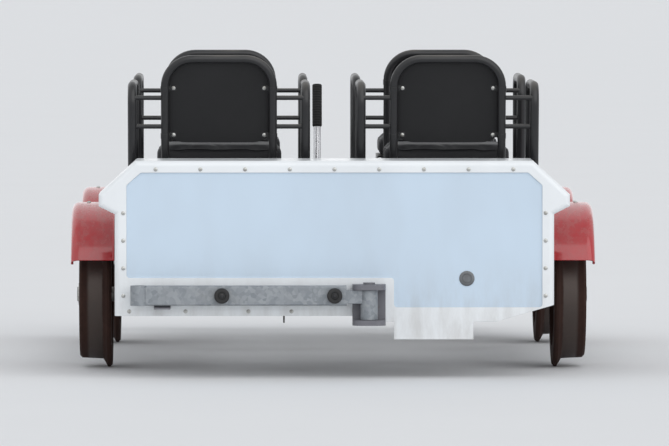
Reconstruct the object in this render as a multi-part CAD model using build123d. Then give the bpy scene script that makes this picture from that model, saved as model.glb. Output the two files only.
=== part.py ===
from build123d import *
import math
import os

# A four-seat pedal rail cart for standard gauge track.
# Units are millimetres. +X is right, +Y is forward, +Z is up. z = 0 is the floor under the wheel flanges,
# and x = y = 0 is the middle of the cart. The rail head touches the treads at z = FLANGE_HEIGHT.

# Track and wheels
TRACK_GAUGE = 1435.0
FLANGE_PLAY = 7.5
FLANGE_THICKNESS = 28.0
FLANGE_HEIGHT = 25.0
FLANGE_ROUND = 7.0
TREAD_RADIUS = 200.0
TREAD_FALL = 3.0
WHEEL_WIDTH = 100.0
RIM_DEPTH = 34.0
WEB_THICKNESS = 14.0
WEB_FILLET = 7.0
HUB_RADIUS = 52.0
HUB_WIDTH = 80.0
WEB_HOLE_COUNT = 5
WEB_HOLE_RADIUS = 27.0
WHEELBASE = 1400.0
AXLE_RADIUS = 22.5
AXLE_STUB = 9.0
RUNNING_CLEARANCE = 0.05

# Frame tubes
TUBE_WIDTH = 40.0
TUBE_HEIGHT = 60.0
TUBE_ROUND = 5.0
BEARING_RISE = 50.0
BEARING_RADIUS = 40.0
BEARING_WIDTH = 42.0
BEARING_FOOT_LENGTH = 140.0
BEARING_FOOT_THICKNESS = 14.0
BEARING_FOOT_ROUND = 8.0
RAIL_TO_WHEEL = 102.0
END_BEAM_HEIGHT = 130.0
CROSS_MEMBER_Y = (-1000.0, 60.0, 460.0, 1160.0)

# Body panels at both ends
FACE_Y = 1340.0
PANEL_THICKNESS = 5.0
PANEL_ROUND = 16.0
PANEL_TO_WHEEL = 18.0
PANEL_BOTTOM_Z = 189.0
TAIL_TOP_Z = 658.0
TAIL_TOP_INSET = 64.0
EAR_REACH = 48.0
EAR_TOP_Z = 556.0
EAR_BOTTOM_Z = 520.0
TAIL_DEPTH = 260.0
TONGUE_X = (180.0, 420.0)
TONGUE_Z = 118.0
TAIL_STEP_X = 60.0
TAIL_STEP_Z = 172.0
TAIL_CHAMFER = (174.0, 50.0)
FIELD_BORDER = 36.0
FIELD_DEPTH = 4.0
FIELD_CORNER = 10.0
FIELD_LOW_Z = 215.0
FIELD_STEP_X = 180.0
FIELD_STEP_Z = 304.0
NOSE_TOP_Z = 455.0
NOSE_CORNER = 64.0
SKIRT_DEPTH = 60.0

# Seats, as (row name, y where the back meets the seat, y of the pedal axle), and their parts
ROWS = (("rear", -1000.0, -200.0), ("front", 100.0, 900.0))
SIDES = (("left", -1), ("right", 1))
SEAT_BEAM_SIZE = 40.0
SEAT_BEAM_TOP_Z = 600.0
SEAT_BEAM_SPREAD = 340.0
SEAT_BEAM_OVERHANG = 75.0
GUSSET_SIZE = 60.0
GUSSET_THICKNESS = 8.0
SEAT_TUBE_RADIUS = 12.5
SEAT_TUBE_TO_ARMREST = 100.0
SEAT_TUBE_LENGTH = 385.0
SEAT_TOP_Z = 973.0
RECLINE_DEG = 12.0
HOOP_FOOT_BEND = 60.0
HOOP_TOP_BEND = 85.0
SOFT_GAP = 0.3
PAN_INSET = 20.0
PAN_DEPTH = 340.0
PAN_FRONT = 35.0
PAN_THICKNESS = 4.0
PAN_LIP = 12.0
CUSHION_TO_ARMREST = 50.0
CUSHION_DEPTH = 400.0
CUSHION_FRONT = 10.0
CUSHION_THICKNESS = 62.0
CUSHION_CORNER = 45.0
CUSHION_EDGE = 16.0
BACK_BOW = 6.0
BACK_PLATE_GAP = 2.9
BACK_PLATE_THICKNESS = 4.0
BACK_PAD_THICKNESS = 34.0
BACK_OVERHANG = 9.0
BACK_PAD_INSET = 12.0
BACK_RISE = (92.0, 344.0)
BACK_CORNER = 70.0
ARMREST_TO_MIDDLE = 85.0
ARMREST_TO_BEAM_END = 20.0
ARMREST_TUBE_RADIUS = 14.0
ARMREST_TOP_Z = 892.0
ARMREST_BEND = 50.0
RUNG_RADIUS = 7.0
RUNG_Z = (754.0, 842.0)

# Pedal drive
CRANK_Z = 425.0
CRANK_LENGTH = 150.0
CRANK_SHELL_RADIUS = 23.0
CRANK_SHELL_LENGTH = 68.0
CRANK_SHELL_RIM = 4.0
SPINDLE_RADIUS = 9.0
ARM_THICKNESS = 12.0
ARM_TIP_RADIUS = 12.0
ARM_BOSS_RADIUS = 19.0
ARM_GAP = 66.0
PEDAL_PIN_RADIUS = 6.0
PEDAL_TO_RAIL = 24.0
PEDAL_LENGTH = 98.0
PEDAL_HEIGHT = 24.0
PEDAL_GAP = 4.0
PEDAL_WALL = 12.0
PEDAL_NOTCH = 4.0
PEDAL_NOTCH_COUNT = 5
CRANK_STEP_DEG = 35.0
CHAIN_PITCH = 12.7
CHAINRING_TEETH = 44
SPROCKET_TEETH = 24
TOOTH_THICKNESS = 4.0
TOOTH_TIP = 3.5
TOOTH_ROOT = 4.0
TOOTH_ROOT_SHARE = 0.36
TOOTH_TIP_SHARE = 0.12
RING_HOLE_COUNT = 5
RING_HOLE_CIRCLE = 52.0
RING_HOLE_RADIUS = 17.0
CHAIN_X = 45.0
CHAIN_WIDTH = 9.0
CHAIN_HALF_HEIGHT = 5.0
CHAIN_WAIST = 1.3
CHAIN_CLEARANCE = 0.7
RING_BOSS_RADIUS = 23.0
RING_BOSS_STEP = 4.0
SPROCKET_BOSS_RADIUS = 34.0
GUARD_MARGIN = 18.0
GUARD_THICKNESS = 3.0
GUARD_X = 56.0
GUARD_DROP = 38.0
GUARD_HOLE_CLEARANCE = 6.0
GUARD_LEDGE = 26.0
GUARD_ARM_SIZE = 18.0

# Fenders and side steps
FENDER_CLEARANCE = 57.0
FENDER_THICKNESS = 4.0
FENDER_INNER_GAP = 12.0
FENDER_OUTER_GAP = 24.0
FENDER_LIP = 28.0
FENDER_ROUND = 22.0
FENDER_BEAD = 4.0
FENDER_END_DEG = 24.0
STAY_WIDTH = 90.0
STAY_THICKNESS = 8.0
STEP_TO_WHEEL_FACE = 2.0
STEP_HALF_LENGTH = 385.0
STEP_TOP_Z = 306.0
STEP_THICKNESS = 5.0
STEP_LIP = 34.0
STEP_BRACKET_Y = 270.0
STEP_BRACKET_HOLE = 7.0

# Tow bar, couplers and bumper
TOW_PIVOT_X = 104.0
TOW_EYE_TO_PANEL = 74.0
TOW_BAR_HEIGHT = 60.0
TOW_BAR_DEPTH = 30.0
TOW_BAR_GAP = 30.0
TOW_Z = 253.0
TOW_SLEEVE_RADIUS = 26.0
TOW_PIN_RADIUS = 11.0
TOW_PIN_HEAD = 6.0
TOW_PIN_HEAD_RADIUS = 18.0
TOW_BAR_ROUND = 5.0
TOW_PLAY = 1.0
TOW_EYE_BORE = 13.0
TOW_NECK_HEIGHT = 40.0
TOW_JAW_THICKNESS = 16.0
TOW_JAW_WIDTH = 100.0
TOW_JAW_REACH = 80.0
TOW_JAW_ROUND = 30.0
TOW_JAW_Z = (163.0, 286.0)
TOW_REST_TO_EYE = 70.0
TOW_REST_WIDTH = 50.0
TOW_BUFFER_X = (-340.0, 0.0)
TOW_BUFFER_RADIUS = 23.0
TOW_BUFFER_DEPTH = 25.0
TOW_BUFFER_ROUND = 5.0
SCREW_POCKET_RADIUS = 12.0
SCREW_POCKET_DEPTH = 5.0
COUPLER_GAP = 70.0
BUMPER_TO_PANEL = 44.0
BUMPER_HEIGHT = 80.0
BUMPER_DEPTH = 40.0
BUMPER_POCKET = 140.0
BUMPER_PAD_LENGTH = 240.0
BUMPER_PAD_DEPTH = 45.0
BUMPER_PAD_SCREW = 55.0

# Brake
DISC_X = -150.0
DISC_RADIUS = 90.0
DISC_THICKNESS = 5.0
DISC_HUB_RADIUS = 38.0
DISC_HOLE_COUNT = 12
DISC_HOLE_RADIUS = 5.0
DISC_HOLE_CIRCLES = (58.0, 74.0)
CALIPER_LENGTH = 52.0
CALIPER_WIDTH = 56.0
CALIPER_GAP = 1.5
CALIPER_SETBACK = 75.0
LEVER_X = -45.0
LEVER_TO_AXLE = 140.0
LEVER_PIVOT_Z = 380.0
LEVER_LENGTH = 495.0
LEVER_LEAN_DEG = 10.0
LEVER_RADIUS = 11.0
LEVER_BOSS_RADIUS = 20.0
LEVER_BOSS_WIDTH = 20.0
LEVER_PIN_RADIUS = 8.0
LEVER_CHEEK = 5.0
LEVER_CHEEK_GAP = 1.0
LEVER_CHEEK_REACH = 30.0
LEVER_GRIP_RADIUS = 15.0
LEVER_GRIP_LENGTH = 130.0
CYLINDER_RADIUS = 13.0
CYLINDER_LENGTH = 45.0
PIPE_RADIUS = 3.5
PIPE_BEND = 30.0

# How far a cutting shape stands out past what it cuts
OVERCUT = 1.0

# Places that follow from the sizes above
AXLE_Z = TREAD_RADIUS + FLANGE_HEIGHT
AXLE_Y = {"rear": -WHEELBASE / 2, "front": WHEELBASE / 2}
WHEEL_BACK_X = TRACK_GAUGE / 2 - FLANGE_PLAY - FLANGE_THICKNESS
WHEEL_FACE_X = WHEEL_BACK_X + WHEEL_WIDTH
FRAME_Z0 = AXLE_Z + BEARING_RISE
FRAME_Z1 = FRAME_Z0 + TUBE_HEIGHT
RAIL_X = WHEEL_BACK_X - RAIL_TO_WHEEL - TUBE_WIDTH / 2
RAIL_INNER_X = RAIL_X - TUBE_WIDTH / 2
RAIL_OUTER_X = RAIL_X + TUBE_WIDTH / 2
PANEL_HALF_WIDTH = WHEEL_BACK_X - PANEL_TO_WHEEL
TAIL_TOP_HALF_WIDTH = PANEL_HALF_WIDTH - TAIL_TOP_INSET
EAR_HALF_WIDTH = PANEL_HALF_WIDTH + EAR_REACH
PANEL_INNER_Y = FACE_Y - PANEL_THICKNESS
SLANT_SHIFT = math.tan(math.radians(22.5))
BEAM_INNER_Y = PANEL_INNER_Y - TUBE_WIDTH
CHAINRING_RADIUS = CHAIN_PITCH / 2 / math.sin(math.pi / CHAINRING_TEETH)
SPROCKET_RADIUS = CHAIN_PITCH / 2 / math.sin(math.pi / SPROCKET_TEETH)
SEAT_TUBE_Z = SEAT_BEAM_TOP_Z + SEAT_TUBE_RADIUS
SEAT_BEAM_HALF_LENGTH = RAIL_X + SEAT_BEAM_OVERHANG
ARMREST_END_X = SEAT_BEAM_HALF_LENGTH - ARMREST_TO_BEAM_END
SEAT_X = (ARMREST_END_X + ARMREST_TO_MIDDLE) / 2
ARMREST_X = (ARMREST_END_X - ARMREST_TO_MIDDLE) / 2
SEAT_TUBE_HALF_WIDTH = ARMREST_X - SEAT_TUBE_TO_ARMREST
CUSHION_WIDTH = 2 * (ARMREST_X - CUSHION_TO_ARMREST)
BACK_WIDTH = 2 * (SEAT_TUBE_HALF_WIDTH + BACK_OVERHANG)
PEDAL_X = ARM_GAP + ARM_THICKNESS + PEDAL_GAP
PEDAL_WIDTH = RAIL_INNER_X - PEDAL_TO_RAIL - SEAT_X - PEDAL_X
PAN_Z = SEAT_TUBE_Z + SEAT_TUBE_RADIUS
RECLINE_SLOPE = math.tan(math.radians(RECLINE_DEG))
BACK_RADIUS = ((BACK_WIDTH / 2) ** 2 + BACK_BOW ** 2) / (2 * BACK_BOW)
FENDER_RADIUS = TREAD_RADIUS + FLANGE_HEIGHT + FENDER_CLEARANCE
FENDER_INNER_X = WHEEL_BACK_X - FENDER_INNER_GAP
FENDER_OUTER_X = WHEEL_FACE_X + FENDER_OUTER_GAP
STEP_OUTER_X = WHEEL_FACE_X - STEP_TO_WHEEL_FACE
TOW_Y = -(FACE_Y + TOW_BAR_GAP + TOW_BAR_DEPTH / 2)
TOW_EYE_X = TOW_EYE_TO_PANEL - PANEL_HALF_WIDTH
TOW_REST_X = TOW_EYE_X + TOW_REST_TO_EYE
BUMPER_HALF_LENGTH = PANEL_HALF_WIDTH - BUMPER_TO_PANEL
CALIPER_Y = AXLE_Y["rear"] - CALIPER_SETBACK
LEVER_Y = AXLE_Y["rear"] + LEVER_TO_AXLE
CYLINDER_Z = FRAME_Z1 + CYLINDER_RADIUS


def block(x0, x1, y0, y1, z0, z1):
    """A box between two corners."""
    return Pos((x0 + x1) / 2, (y0 + y1) / 2, (z0 + z1) / 2) * Box(x1 - x0, y1 - y0, z1 - z0)


def tube_bar(x0, x1, y0, y1, z0, z1, axis):
    """A rectangular tube's body along an axis, with rounded long edges."""
    bar = block(x0, x1, y0, y1, z0, z1)
    return fillet(bar.edges().filter_by(axis), TUBE_ROUND)


def rod_x(x0, x1, y, z, radius):
    """A round bar along X."""
    return Pos((x0 + x1) / 2, y, z) * Rot(0, 90, 0) * Cylinder(radius, x1 - x0)


def rod_y(x, y0, y1, z, radius):
    """A round bar along Y."""
    return Pos(x, (y0 + y1) / 2, z) * Rot(90, 0, 0) * Cylinder(radius, y1 - y0)


def rod_z(x, y, z0, z1, radius):
    """A round bar along Z."""
    return Pos(x, y, (z0 + z1) / 2) * Cylinder(radius, z1 - z0)


def bent_tube(points, bends, radius):
    """A round bar that follows straight runs joined by bends of the given radii."""
    path = FilletPolyline(*points, radius=bends)
    section = Plane(origin=path @ 0, z_dir=path % 0) * Circle(radius)
    return sweep(section, path)


def side_plate(face_yz, x0, x1):
    """A flat sketch drawn in (y, z), extruded along X from x0 to x1."""
    plane = Plane(origin=(x0, 0, 0), x_dir=(0, 1, 0), z_dir=(1, 0, 0))
    return extrude(plane * face_yz, amount=x1 - x0)


def end_plate(face_xz, y0, y1):
    """A flat sketch drawn in (x, z), extruded along Y from y0 to y1."""
    plane = Plane(origin=(0, y1, 0), x_dir=(1, 0, 0), z_dir=(0, -1, 0))
    return extrude(plane * face_xz, amount=y1 - y0)


def outline(points):
    """A flat face inside straight edges."""
    return make_face(Polyline(*points, close=True))


def write(name, shapes):
    """Writes one node, which may hold several solids that don't touch."""
    solids = [solid for shape in shapes for solid in shape.solids()]
    export_step(Compound(children=solids), f"parts/{name}.step")


# Wheels: a tapered tread with a flange on the inner side, a thin web with round holes, and a hub
def wheel(side, axle_y):
    top = TREAD_RADIUS + FLANGE_HEIGHT
    face_radius = TREAD_RADIUS - TREAD_FALL
    rim_inner = face_radius - RIM_DEPTH
    middle = WHEEL_BACK_X + WHEEL_WIDTH / 2
    web0 = middle - WEB_THICKNESS / 2
    web1 = middle + WEB_THICKNESS / 2
    hub0 = middle - HUB_WIDTH / 2
    hub1 = middle + HUB_WIDTH / 2
    profile = outline([
        (WHEEL_BACK_X, rim_inner),
        (WHEEL_BACK_X, top - FLANGE_ROUND),
        (WHEEL_BACK_X + FLANGE_ROUND, top),
        (WHEEL_BACK_X + 2 * FLANGE_ROUND, top),
        (WHEEL_BACK_X + FLANGE_THICKNESS, TREAD_RADIUS),
        (WHEEL_FACE_X - FLANGE_ROUND, face_radius),
        (WHEEL_FACE_X, face_radius - FLANGE_ROUND),
        (WHEEL_FACE_X, rim_inner),
        (web1, rim_inner),
        (web1, HUB_RADIUS),
        (hub1, HUB_RADIUS),
        (hub1, AXLE_RADIUS),
        (hub0, AXLE_RADIUS),
        (hub0, HUB_RADIUS),
        (web0, HUB_RADIUS),
        (web0, rim_inner),
    ])
    web_corners = [v for v in profile.vertices() if web0 - OVERCUT < v.X < web1 + OVERCUT]
    body = revolve(fillet(web_corners, WEB_FILLET), axis=Axis.X)
    hole_circle = (rim_inner + HUB_RADIUS) / 2
    for i in range(WEB_HOLE_COUNT):
        turn = Rot(360 * i / WEB_HOLE_COUNT, 0, 0)
        body -= turn * rod_x(hub0, hub1, 0, hole_circle, WEB_HOLE_RADIUS)
    if side < 0:
        body = mirror(body, about=Plane.YZ)
    return Pos(0, axle_y, AXLE_Z) * body


def toothed_face(teeth, pitch_radius):
    """A sprocket's outline about the origin, with tapered teeth."""
    step = 2 * math.pi / teeth
    root = pitch_radius - TOOTH_ROOT
    tip = pitch_radius + TOOTH_TIP
    points = []
    for i in range(teeth):
        for share, radius in (
                (-TOOTH_ROOT_SHARE, root), (-TOOTH_TIP_SHARE, tip), (TOOTH_TIP_SHARE, tip), (TOOTH_ROOT_SHARE, root)):
            angle = (i + share) * step
            points.append((radius * math.cos(angle), radius * math.sin(angle)))
    return outline(points)


def disc_face():
    """The brake disc, with two circles of vent holes set half a step apart."""
    face = Circle(DISC_RADIUS)
    for i, circle in enumerate(DISC_HOLE_CIRCLES):
        half_step = 180 * i / DISC_HOLE_COUNT
        face -= Rot(0, 0, half_step) * PolarLocations(circle, DISC_HOLE_COUNT) * Circle(DISC_HOLE_RADIUS)
    return face


# Axles: one shaft through both wheels, a sprocket for each rider, and the brake disc on the rear one
def axle(row):
    end = WHEEL_FACE_X + AXLE_STUB
    shaft = rod_x(-end, end, 0, 0, AXLE_RADIUS)
    sprocket = toothed_face(SPROCKET_TEETH, SPROCKET_RADIUS)
    half = TOOTH_THICKNESS / 2
    for _, side in SIDES:
        x = side * SEAT_X + CHAIN_X
        shaft += side_plate(sprocket, x - half, x + half)
        shaft += rod_x(x - TUBE_WIDTH / 2, x + half, 0, 0, SPROCKET_BOSS_RADIUS)
    if row == "rear":
        shaft += side_plate(disc_face(), DISC_X - DISC_THICKNESS / 2, DISC_X + DISC_THICKNESS / 2)
        shaft += rod_x(DISC_X - TUBE_WIDTH / 2, DISC_X + TUBE_WIDTH / 2, 0, 0, DISC_HUB_RADIUS)
    return Pos(0, AXLE_Y[row], AXLE_Z) * shaft


# Axle bearings: pillow blocks under the side rails
def bearing(x, y):
    half = BEARING_WIDTH / 2
    foot = block(
        x - half, x + half, y - BEARING_FOOT_LENGTH / 2, y + BEARING_FOOT_LENGTH / 2,
        FRAME_Z0 - BEARING_FOOT_THICKNESS, FRAME_Z0)
    foot = fillet(foot.edges().filter_by(Axis.Z), BEARING_FOOT_ROUND)
    housing = rod_x(x - half, x + half, y, AXLE_Z, BEARING_RADIUS)
    cheek = block(x - half, x + half, y - BEARING_RADIUS, y + BEARING_RADIUS, AXLE_Z, FRAME_Z0)
    bore = rod_x(x - BEARING_WIDTH, x + BEARING_WIDTH, y, AXLE_Z, AXLE_RADIUS + RUNNING_CLEARANCE)
    return foot + housing + cheek - bore


# Crank posts: a square post on the pedal carrier with the crank's bearing shell on top
def crank_post(x, y):
    half = TUBE_WIDTH / 2
    post = tube_bar(x - half, x + half, y - half, y + half, FRAME_Z1, CRANK_Z, Axis.Z)
    reach = CRANK_SHELL_LENGTH / 2
    shell = rod_x(x - reach, x + reach, y, CRANK_Z, CRANK_SHELL_RADIUS)
    for end in (-reach, reach - CRANK_SHELL_RIM):
        shell += rod_x(x + end, x + end + CRANK_SHELL_RIM, y, CRANK_Z, CRANK_SHELL_RADIUS + CRANK_SHELL_RIM)
    bore = rod_x(x - 2 * reach, x + 2 * reach, y, CRANK_Z, SPINDLE_RADIUS + RUNNING_CLEARANCE)
    return post + shell - bore


# Cranksets: a spindle, two opposite arms with the pedal pins, and the chainring
def crankset(x, y, angle):
    reach = ARM_GAP + ARM_THICKNESS
    body = rod_x(-reach, reach, 0, 0, SPINDLE_RADIUS)
    ring = toothed_face(CHAINRING_TEETH, CHAINRING_RADIUS)
    ring -= PolarLocations(RING_HOLE_CIRCLE, RING_HOLE_COUNT) * Circle(RING_HOLE_RADIUS)
    half = TOOTH_THICKNESS / 2
    body += side_plate(ring, CHAIN_X - half, CHAIN_X + half)
    body += rod_x(CHAIN_X - half - RING_BOSS_STEP, CHAIN_X + half + RING_BOSS_STEP, 0, 0, RING_BOSS_RADIUS)
    pin_end = PEDAL_X + PEDAL_WIDTH
    for side in (1, -1):
        boss = Circle(ARM_BOSS_RADIUS).edges()
        tip = (Pos(side * CRANK_LENGTH, 0) * Circle(ARM_TIP_RADIUS)).edges()
        body += side_plate(make_hull([*boss, *tip]), *sorted((side * ARM_GAP, side * reach)))
        body += rod_x(*sorted((side * ARM_GAP, side * pin_end)), side * CRANK_LENGTH, 0, PEDAL_PIN_RADIUS)
    return Pos(x, y, CRANK_Z) * Rot(angle, 0, 0) * body


# Pedals: an open platform round a barrel that turns on the crank's pin
def pedal(x, y, angle, side):
    frame = Box(PEDAL_WIDTH, PEDAL_LENGTH, PEDAL_HEIGHT)
    frame = fillet(frame.edges().filter_by(Axis.Z), PEDAL_WALL)
    frame -= Box(PEDAL_WIDTH - 2 * PEDAL_WALL, PEDAL_LENGTH - 2 * PEDAL_WALL, PEDAL_HEIGHT * 2)
    pitch = (PEDAL_WIDTH - 2 * PEDAL_WALL) / PEDAL_NOTCH_COUNT
    notch = Box(pitch / 2, PEDAL_LENGTH + OVERCUT, 2 * PEDAL_NOTCH)
    for z in (-PEDAL_HEIGHT / 2, PEDAL_HEIGHT / 2):
        frame -= Pos(0, 0, z) * GridLocations(pitch, 0, PEDAL_NOTCH_COUNT, 1) * notch
    frame += Rot(0, 90, 0) * Cylinder(PEDAL_HEIGHT / 2, PEDAL_WIDTH)
    frame -= Rot(0, 90, 0) * Cylinder(PEDAL_PIN_RADIUS + RUNNING_CLEARANCE, PEDAL_WIDTH * 2)
    middle = PEDAL_X + PEDAL_WIDTH / 2
    swing = math.radians(angle)
    reach = side * CRANK_LENGTH
    return Pos(x + side * middle, y + reach * math.cos(swing), CRANK_Z + reach * math.sin(swing)) * frame


def belt_face(crank_yz, axle_yz, margin):
    """The outline round a chainring and its sprocket, grown by a margin from their pitch circles, in (y, z)."""
    big = CHAINRING_RADIUS + margin
    small = SPROCKET_RADIUS + margin
    run_y = axle_yz[0] - crank_yz[0]
    run_z = axle_yz[1] - crank_yz[1]
    distance = math.hypot(run_y, run_z)
    heading = math.atan2(run_z, run_y)
    lean = math.acos((CHAINRING_RADIUS - SPROCKET_RADIUS) / distance)

    def rim(centre, radius, angle):
        return (centre[0] + radius * math.cos(angle), centre[1] + radius * math.sin(angle))

    upper = heading + lean
    lower = heading - lean
    edges = [
        Line(rim(crank_yz, big, upper), rim(axle_yz, small, upper)),
        ThreePointArc(
            rim(axle_yz, small, upper), rim(axle_yz, small, heading), rim(axle_yz, small, lower)),
        Line(rim(axle_yz, small, lower), rim(crank_yz, big, lower)),
        ThreePointArc(
            rim(crank_yz, big, lower), rim(crank_yz, big, heading + math.pi), rim(crank_yz, big, upper)),
    ]
    return make_face(Curve() + edges)


# Chains: a closed row of waisted links with a slot on its inner side for the teeth
def chain(row, side, crank_y):
    crank_yz = (crank_y, CRANK_Z)
    axle_yz = (AXLE_Y[row], AXLE_Z)
    x = side * SEAT_X + CHAIN_X
    waist = CHAIN_HALF_HEIGHT - CHAIN_WAIST
    links = belt_face(crank_yz, axle_yz, waist) - belt_face(crank_yz, axle_yz, -waist)
    loop = belt_face(crank_yz, axle_yz, 0).face().outer_wire()
    pin_count = round(loop.length / CHAIN_PITCH)
    pins = [loop @ (i / pin_count) for i in range(pin_count)]
    links += [Pos(pin.X, pin.Y) * Circle(CHAIN_HALF_HEIGHT) for pin in pins]
    half = CHAIN_WIDTH / 2
    slot = TOOTH_THICKNESS / 2 + CHAIN_CLEARANCE
    band = side_plate(links, x - half, x + half)
    groove = side_plate(belt_face(crank_yz, axle_yz, TOOTH_TIP + CHAIN_CLEARANCE), x - slot, x + slot)
    return band - groove


# Chain guards: a plate over the upper run and half of each wheel, with a ledge over the chain
def chain_guard(row, side, crank_y):
    crank_yz = (crank_y, CRANK_Z)
    axle_yz = (AXLE_Y[row], AXLE_Z)
    x0 = side * SEAT_X + GUARD_X
    x1 = x0 + GUARD_THICKNESS
    run = math.hypot(crank_yz[0] - axle_yz[0], crank_yz[1] - axle_yz[1])
    slope = math.degrees(math.atan2(crank_yz[1] - axle_yz[1], crank_yz[0] - axle_yz[0]))
    above = Pos(*axle_yz) * Rot(0, 0, slope) * Pos(run / 2, run - GUARD_DROP) * Rectangle(2 * run, 2 * run)
    outer = belt_face(crank_yz, axle_yz, GUARD_MARGIN) & above
    inner = belt_face(crank_yz, axle_yz, GUARD_MARGIN - GUARD_THICKNESS)
    holes = Pos(*crank_yz) * Circle(RING_BOSS_RADIUS + GUARD_HOLE_CLEARANCE)
    holes += Pos(*axle_yz) * Circle(AXLE_RADIUS + GUARD_HOLE_CLEARANCE)
    guard = side_plate(outer - holes, x0, x1)
    guard += side_plate(outer - inner, x1 - GUARD_LEDGE, x1)
    middle_y = (axle_yz[0] + crank_yz[0]) / 2
    middle_z = (axle_yz[1] + crank_yz[1]) / 2
    arm_z = min(middle_z, FRAME_Z1 - GUARD_ARM_SIZE / 2)
    half = GUARD_ARM_SIZE / 2
    carrier_side = side * SEAT_X + TUBE_WIDTH / 2
    return guard + block(carrier_side, x0, middle_y - half, middle_y + half, arm_z - half, arm_z + half)


# Frame members
def side_rails():
    return [
        tube_bar(x - TUBE_WIDTH / 2, x + TUBE_WIDTH / 2, -BEAM_INNER_Y, BEAM_INNER_Y, FRAME_Z0, FRAME_Z1, Axis.Y)
        for x in (-RAIL_X, RAIL_X)
    ]


def end_beams():
    z0 = FRAME_Z1 - END_BEAM_HEIGHT
    return [
        tube_bar(-RAIL_OUTER_X, RAIL_OUTER_X, y0, y1, z0, FRAME_Z1, Axis.X)
        for y0, y1 in ((FIELD_DEPTH - PANEL_INNER_Y, -BEAM_INNER_Y), (BEAM_INNER_Y, PANEL_INNER_Y))
    ]


def cross_members():
    half = TUBE_WIDTH / 2
    return [
        tube_bar(-RAIL_INNER_X, RAIL_INNER_X, y - half, y + half, FRAME_Z0, FRAME_Z1, Axis.X)
        for y in CROSS_MEMBER_Y
    ]


def long_members():
    """The spine on the centre line, and one pedal carrier under each seat, between the cross members."""
    half = TUBE_WIDTH / 2
    stops = (-BEAM_INNER_Y - half, *CROSS_MEMBER_Y, BEAM_INNER_Y + half)
    members = [
        tube_bar(-half, half, y0 + half, y1 - half, FRAME_Z0, FRAME_Z1, Axis.Y)
        for y0, y1 in zip(stops, stops[1:])
    ]
    for y0, y1 in (CROSS_MEMBER_Y[:2], CROSS_MEMBER_Y[2:]):
        for _, side in SIDES:
            x = side * SEAT_X
            members.append(tube_bar(x - half, x + half, y0 + half, y1 - half, FRAME_Z0, FRAME_Z1, Axis.Y))
    return members


def seat_beam_places(seat_y):
    return (seat_y, seat_y + SEAT_BEAM_SPREAD)


def seat_post(x, y):
    """A post on the side rail, with a gusset before and behind its foot."""
    half = SEAT_BEAM_SIZE / 2
    body = tube_bar(
        x - half, x + half, y - half, y + half, FRAME_Z1, SEAT_BEAM_TOP_Z - SEAT_BEAM_SIZE, Axis.Z)
    gusset = outline([
        (y - half - GUSSET_SIZE, FRAME_Z1),
        (y - half, FRAME_Z1 + GUSSET_SIZE),
        (y + half, FRAME_Z1 + GUSSET_SIZE),
        (y + half + GUSSET_SIZE, FRAME_Z1),
    ])
    return body + side_plate(gusset, x - GUSSET_THICKNESS / 2, x + GUSSET_THICKNESS / 2)


def seat_posts():
    return [
        seat_post(x, y)
        for _, seat_y, _ in ROWS
        for y in seat_beam_places(seat_y)
        for x in (-RAIL_X, RAIL_X)
    ]


def seat_beams():
    half = SEAT_BEAM_SIZE / 2
    reach = SEAT_BEAM_HALF_LENGTH
    return [
        tube_bar(-reach, reach, y - half, y + half, SEAT_BEAM_TOP_Z - SEAT_BEAM_SIZE, SEAT_BEAM_TOP_Z, Axis.X)
        for _, seat_y, _ in ROWS
        for y in seat_beam_places(seat_y)
    ]


# Tail shell: a moulded cover with a chamfered top and wide shoulders, open at the front and below
def tail_outline(inset):
    """The shell's outline in (x, z), without the lower edge's steps, moved inwards by the inset."""
    top = TAIL_TOP_Z - inset
    slant = inset * SLANT_SHIFT
    points = [
        (TAIL_TOP_HALF_WIDTH - slant, top),
        (EAR_HALF_WIDTH - inset, EAR_TOP_Z - slant),
        (EAR_HALF_WIDTH - inset, EAR_BOTTOM_Z + inset),
        (PANEL_HALF_WIDTH - inset, EAR_BOTTOM_Z - (EAR_HALF_WIDTH - PANEL_HALF_WIDTH) / 2),
        (PANEL_HALF_WIDTH - inset, TONGUE_Z),
    ]
    return outline([*points, *((-x, z) for x, z in reversed(points))])


def tail_field():
    """The flat field's outline in (x, z): a border's width inside the shell, and clear above the tow bar."""
    wide = 2 * (PANEL_HALF_WIDTH - FIELD_BORDER)
    high = 2 * TAIL_TOP_Z
    field = tail_outline(FIELD_BORDER) & Pos(0, FIELD_LOW_Z + high / 2) * Rectangle(wide, high)
    field -= Pos(FIELD_STEP_X - wide / 2, FIELD_STEP_Z - high / 2) * Rectangle(wide, high)
    return fillet(field.vertices(), FIELD_CORNER)


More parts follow.
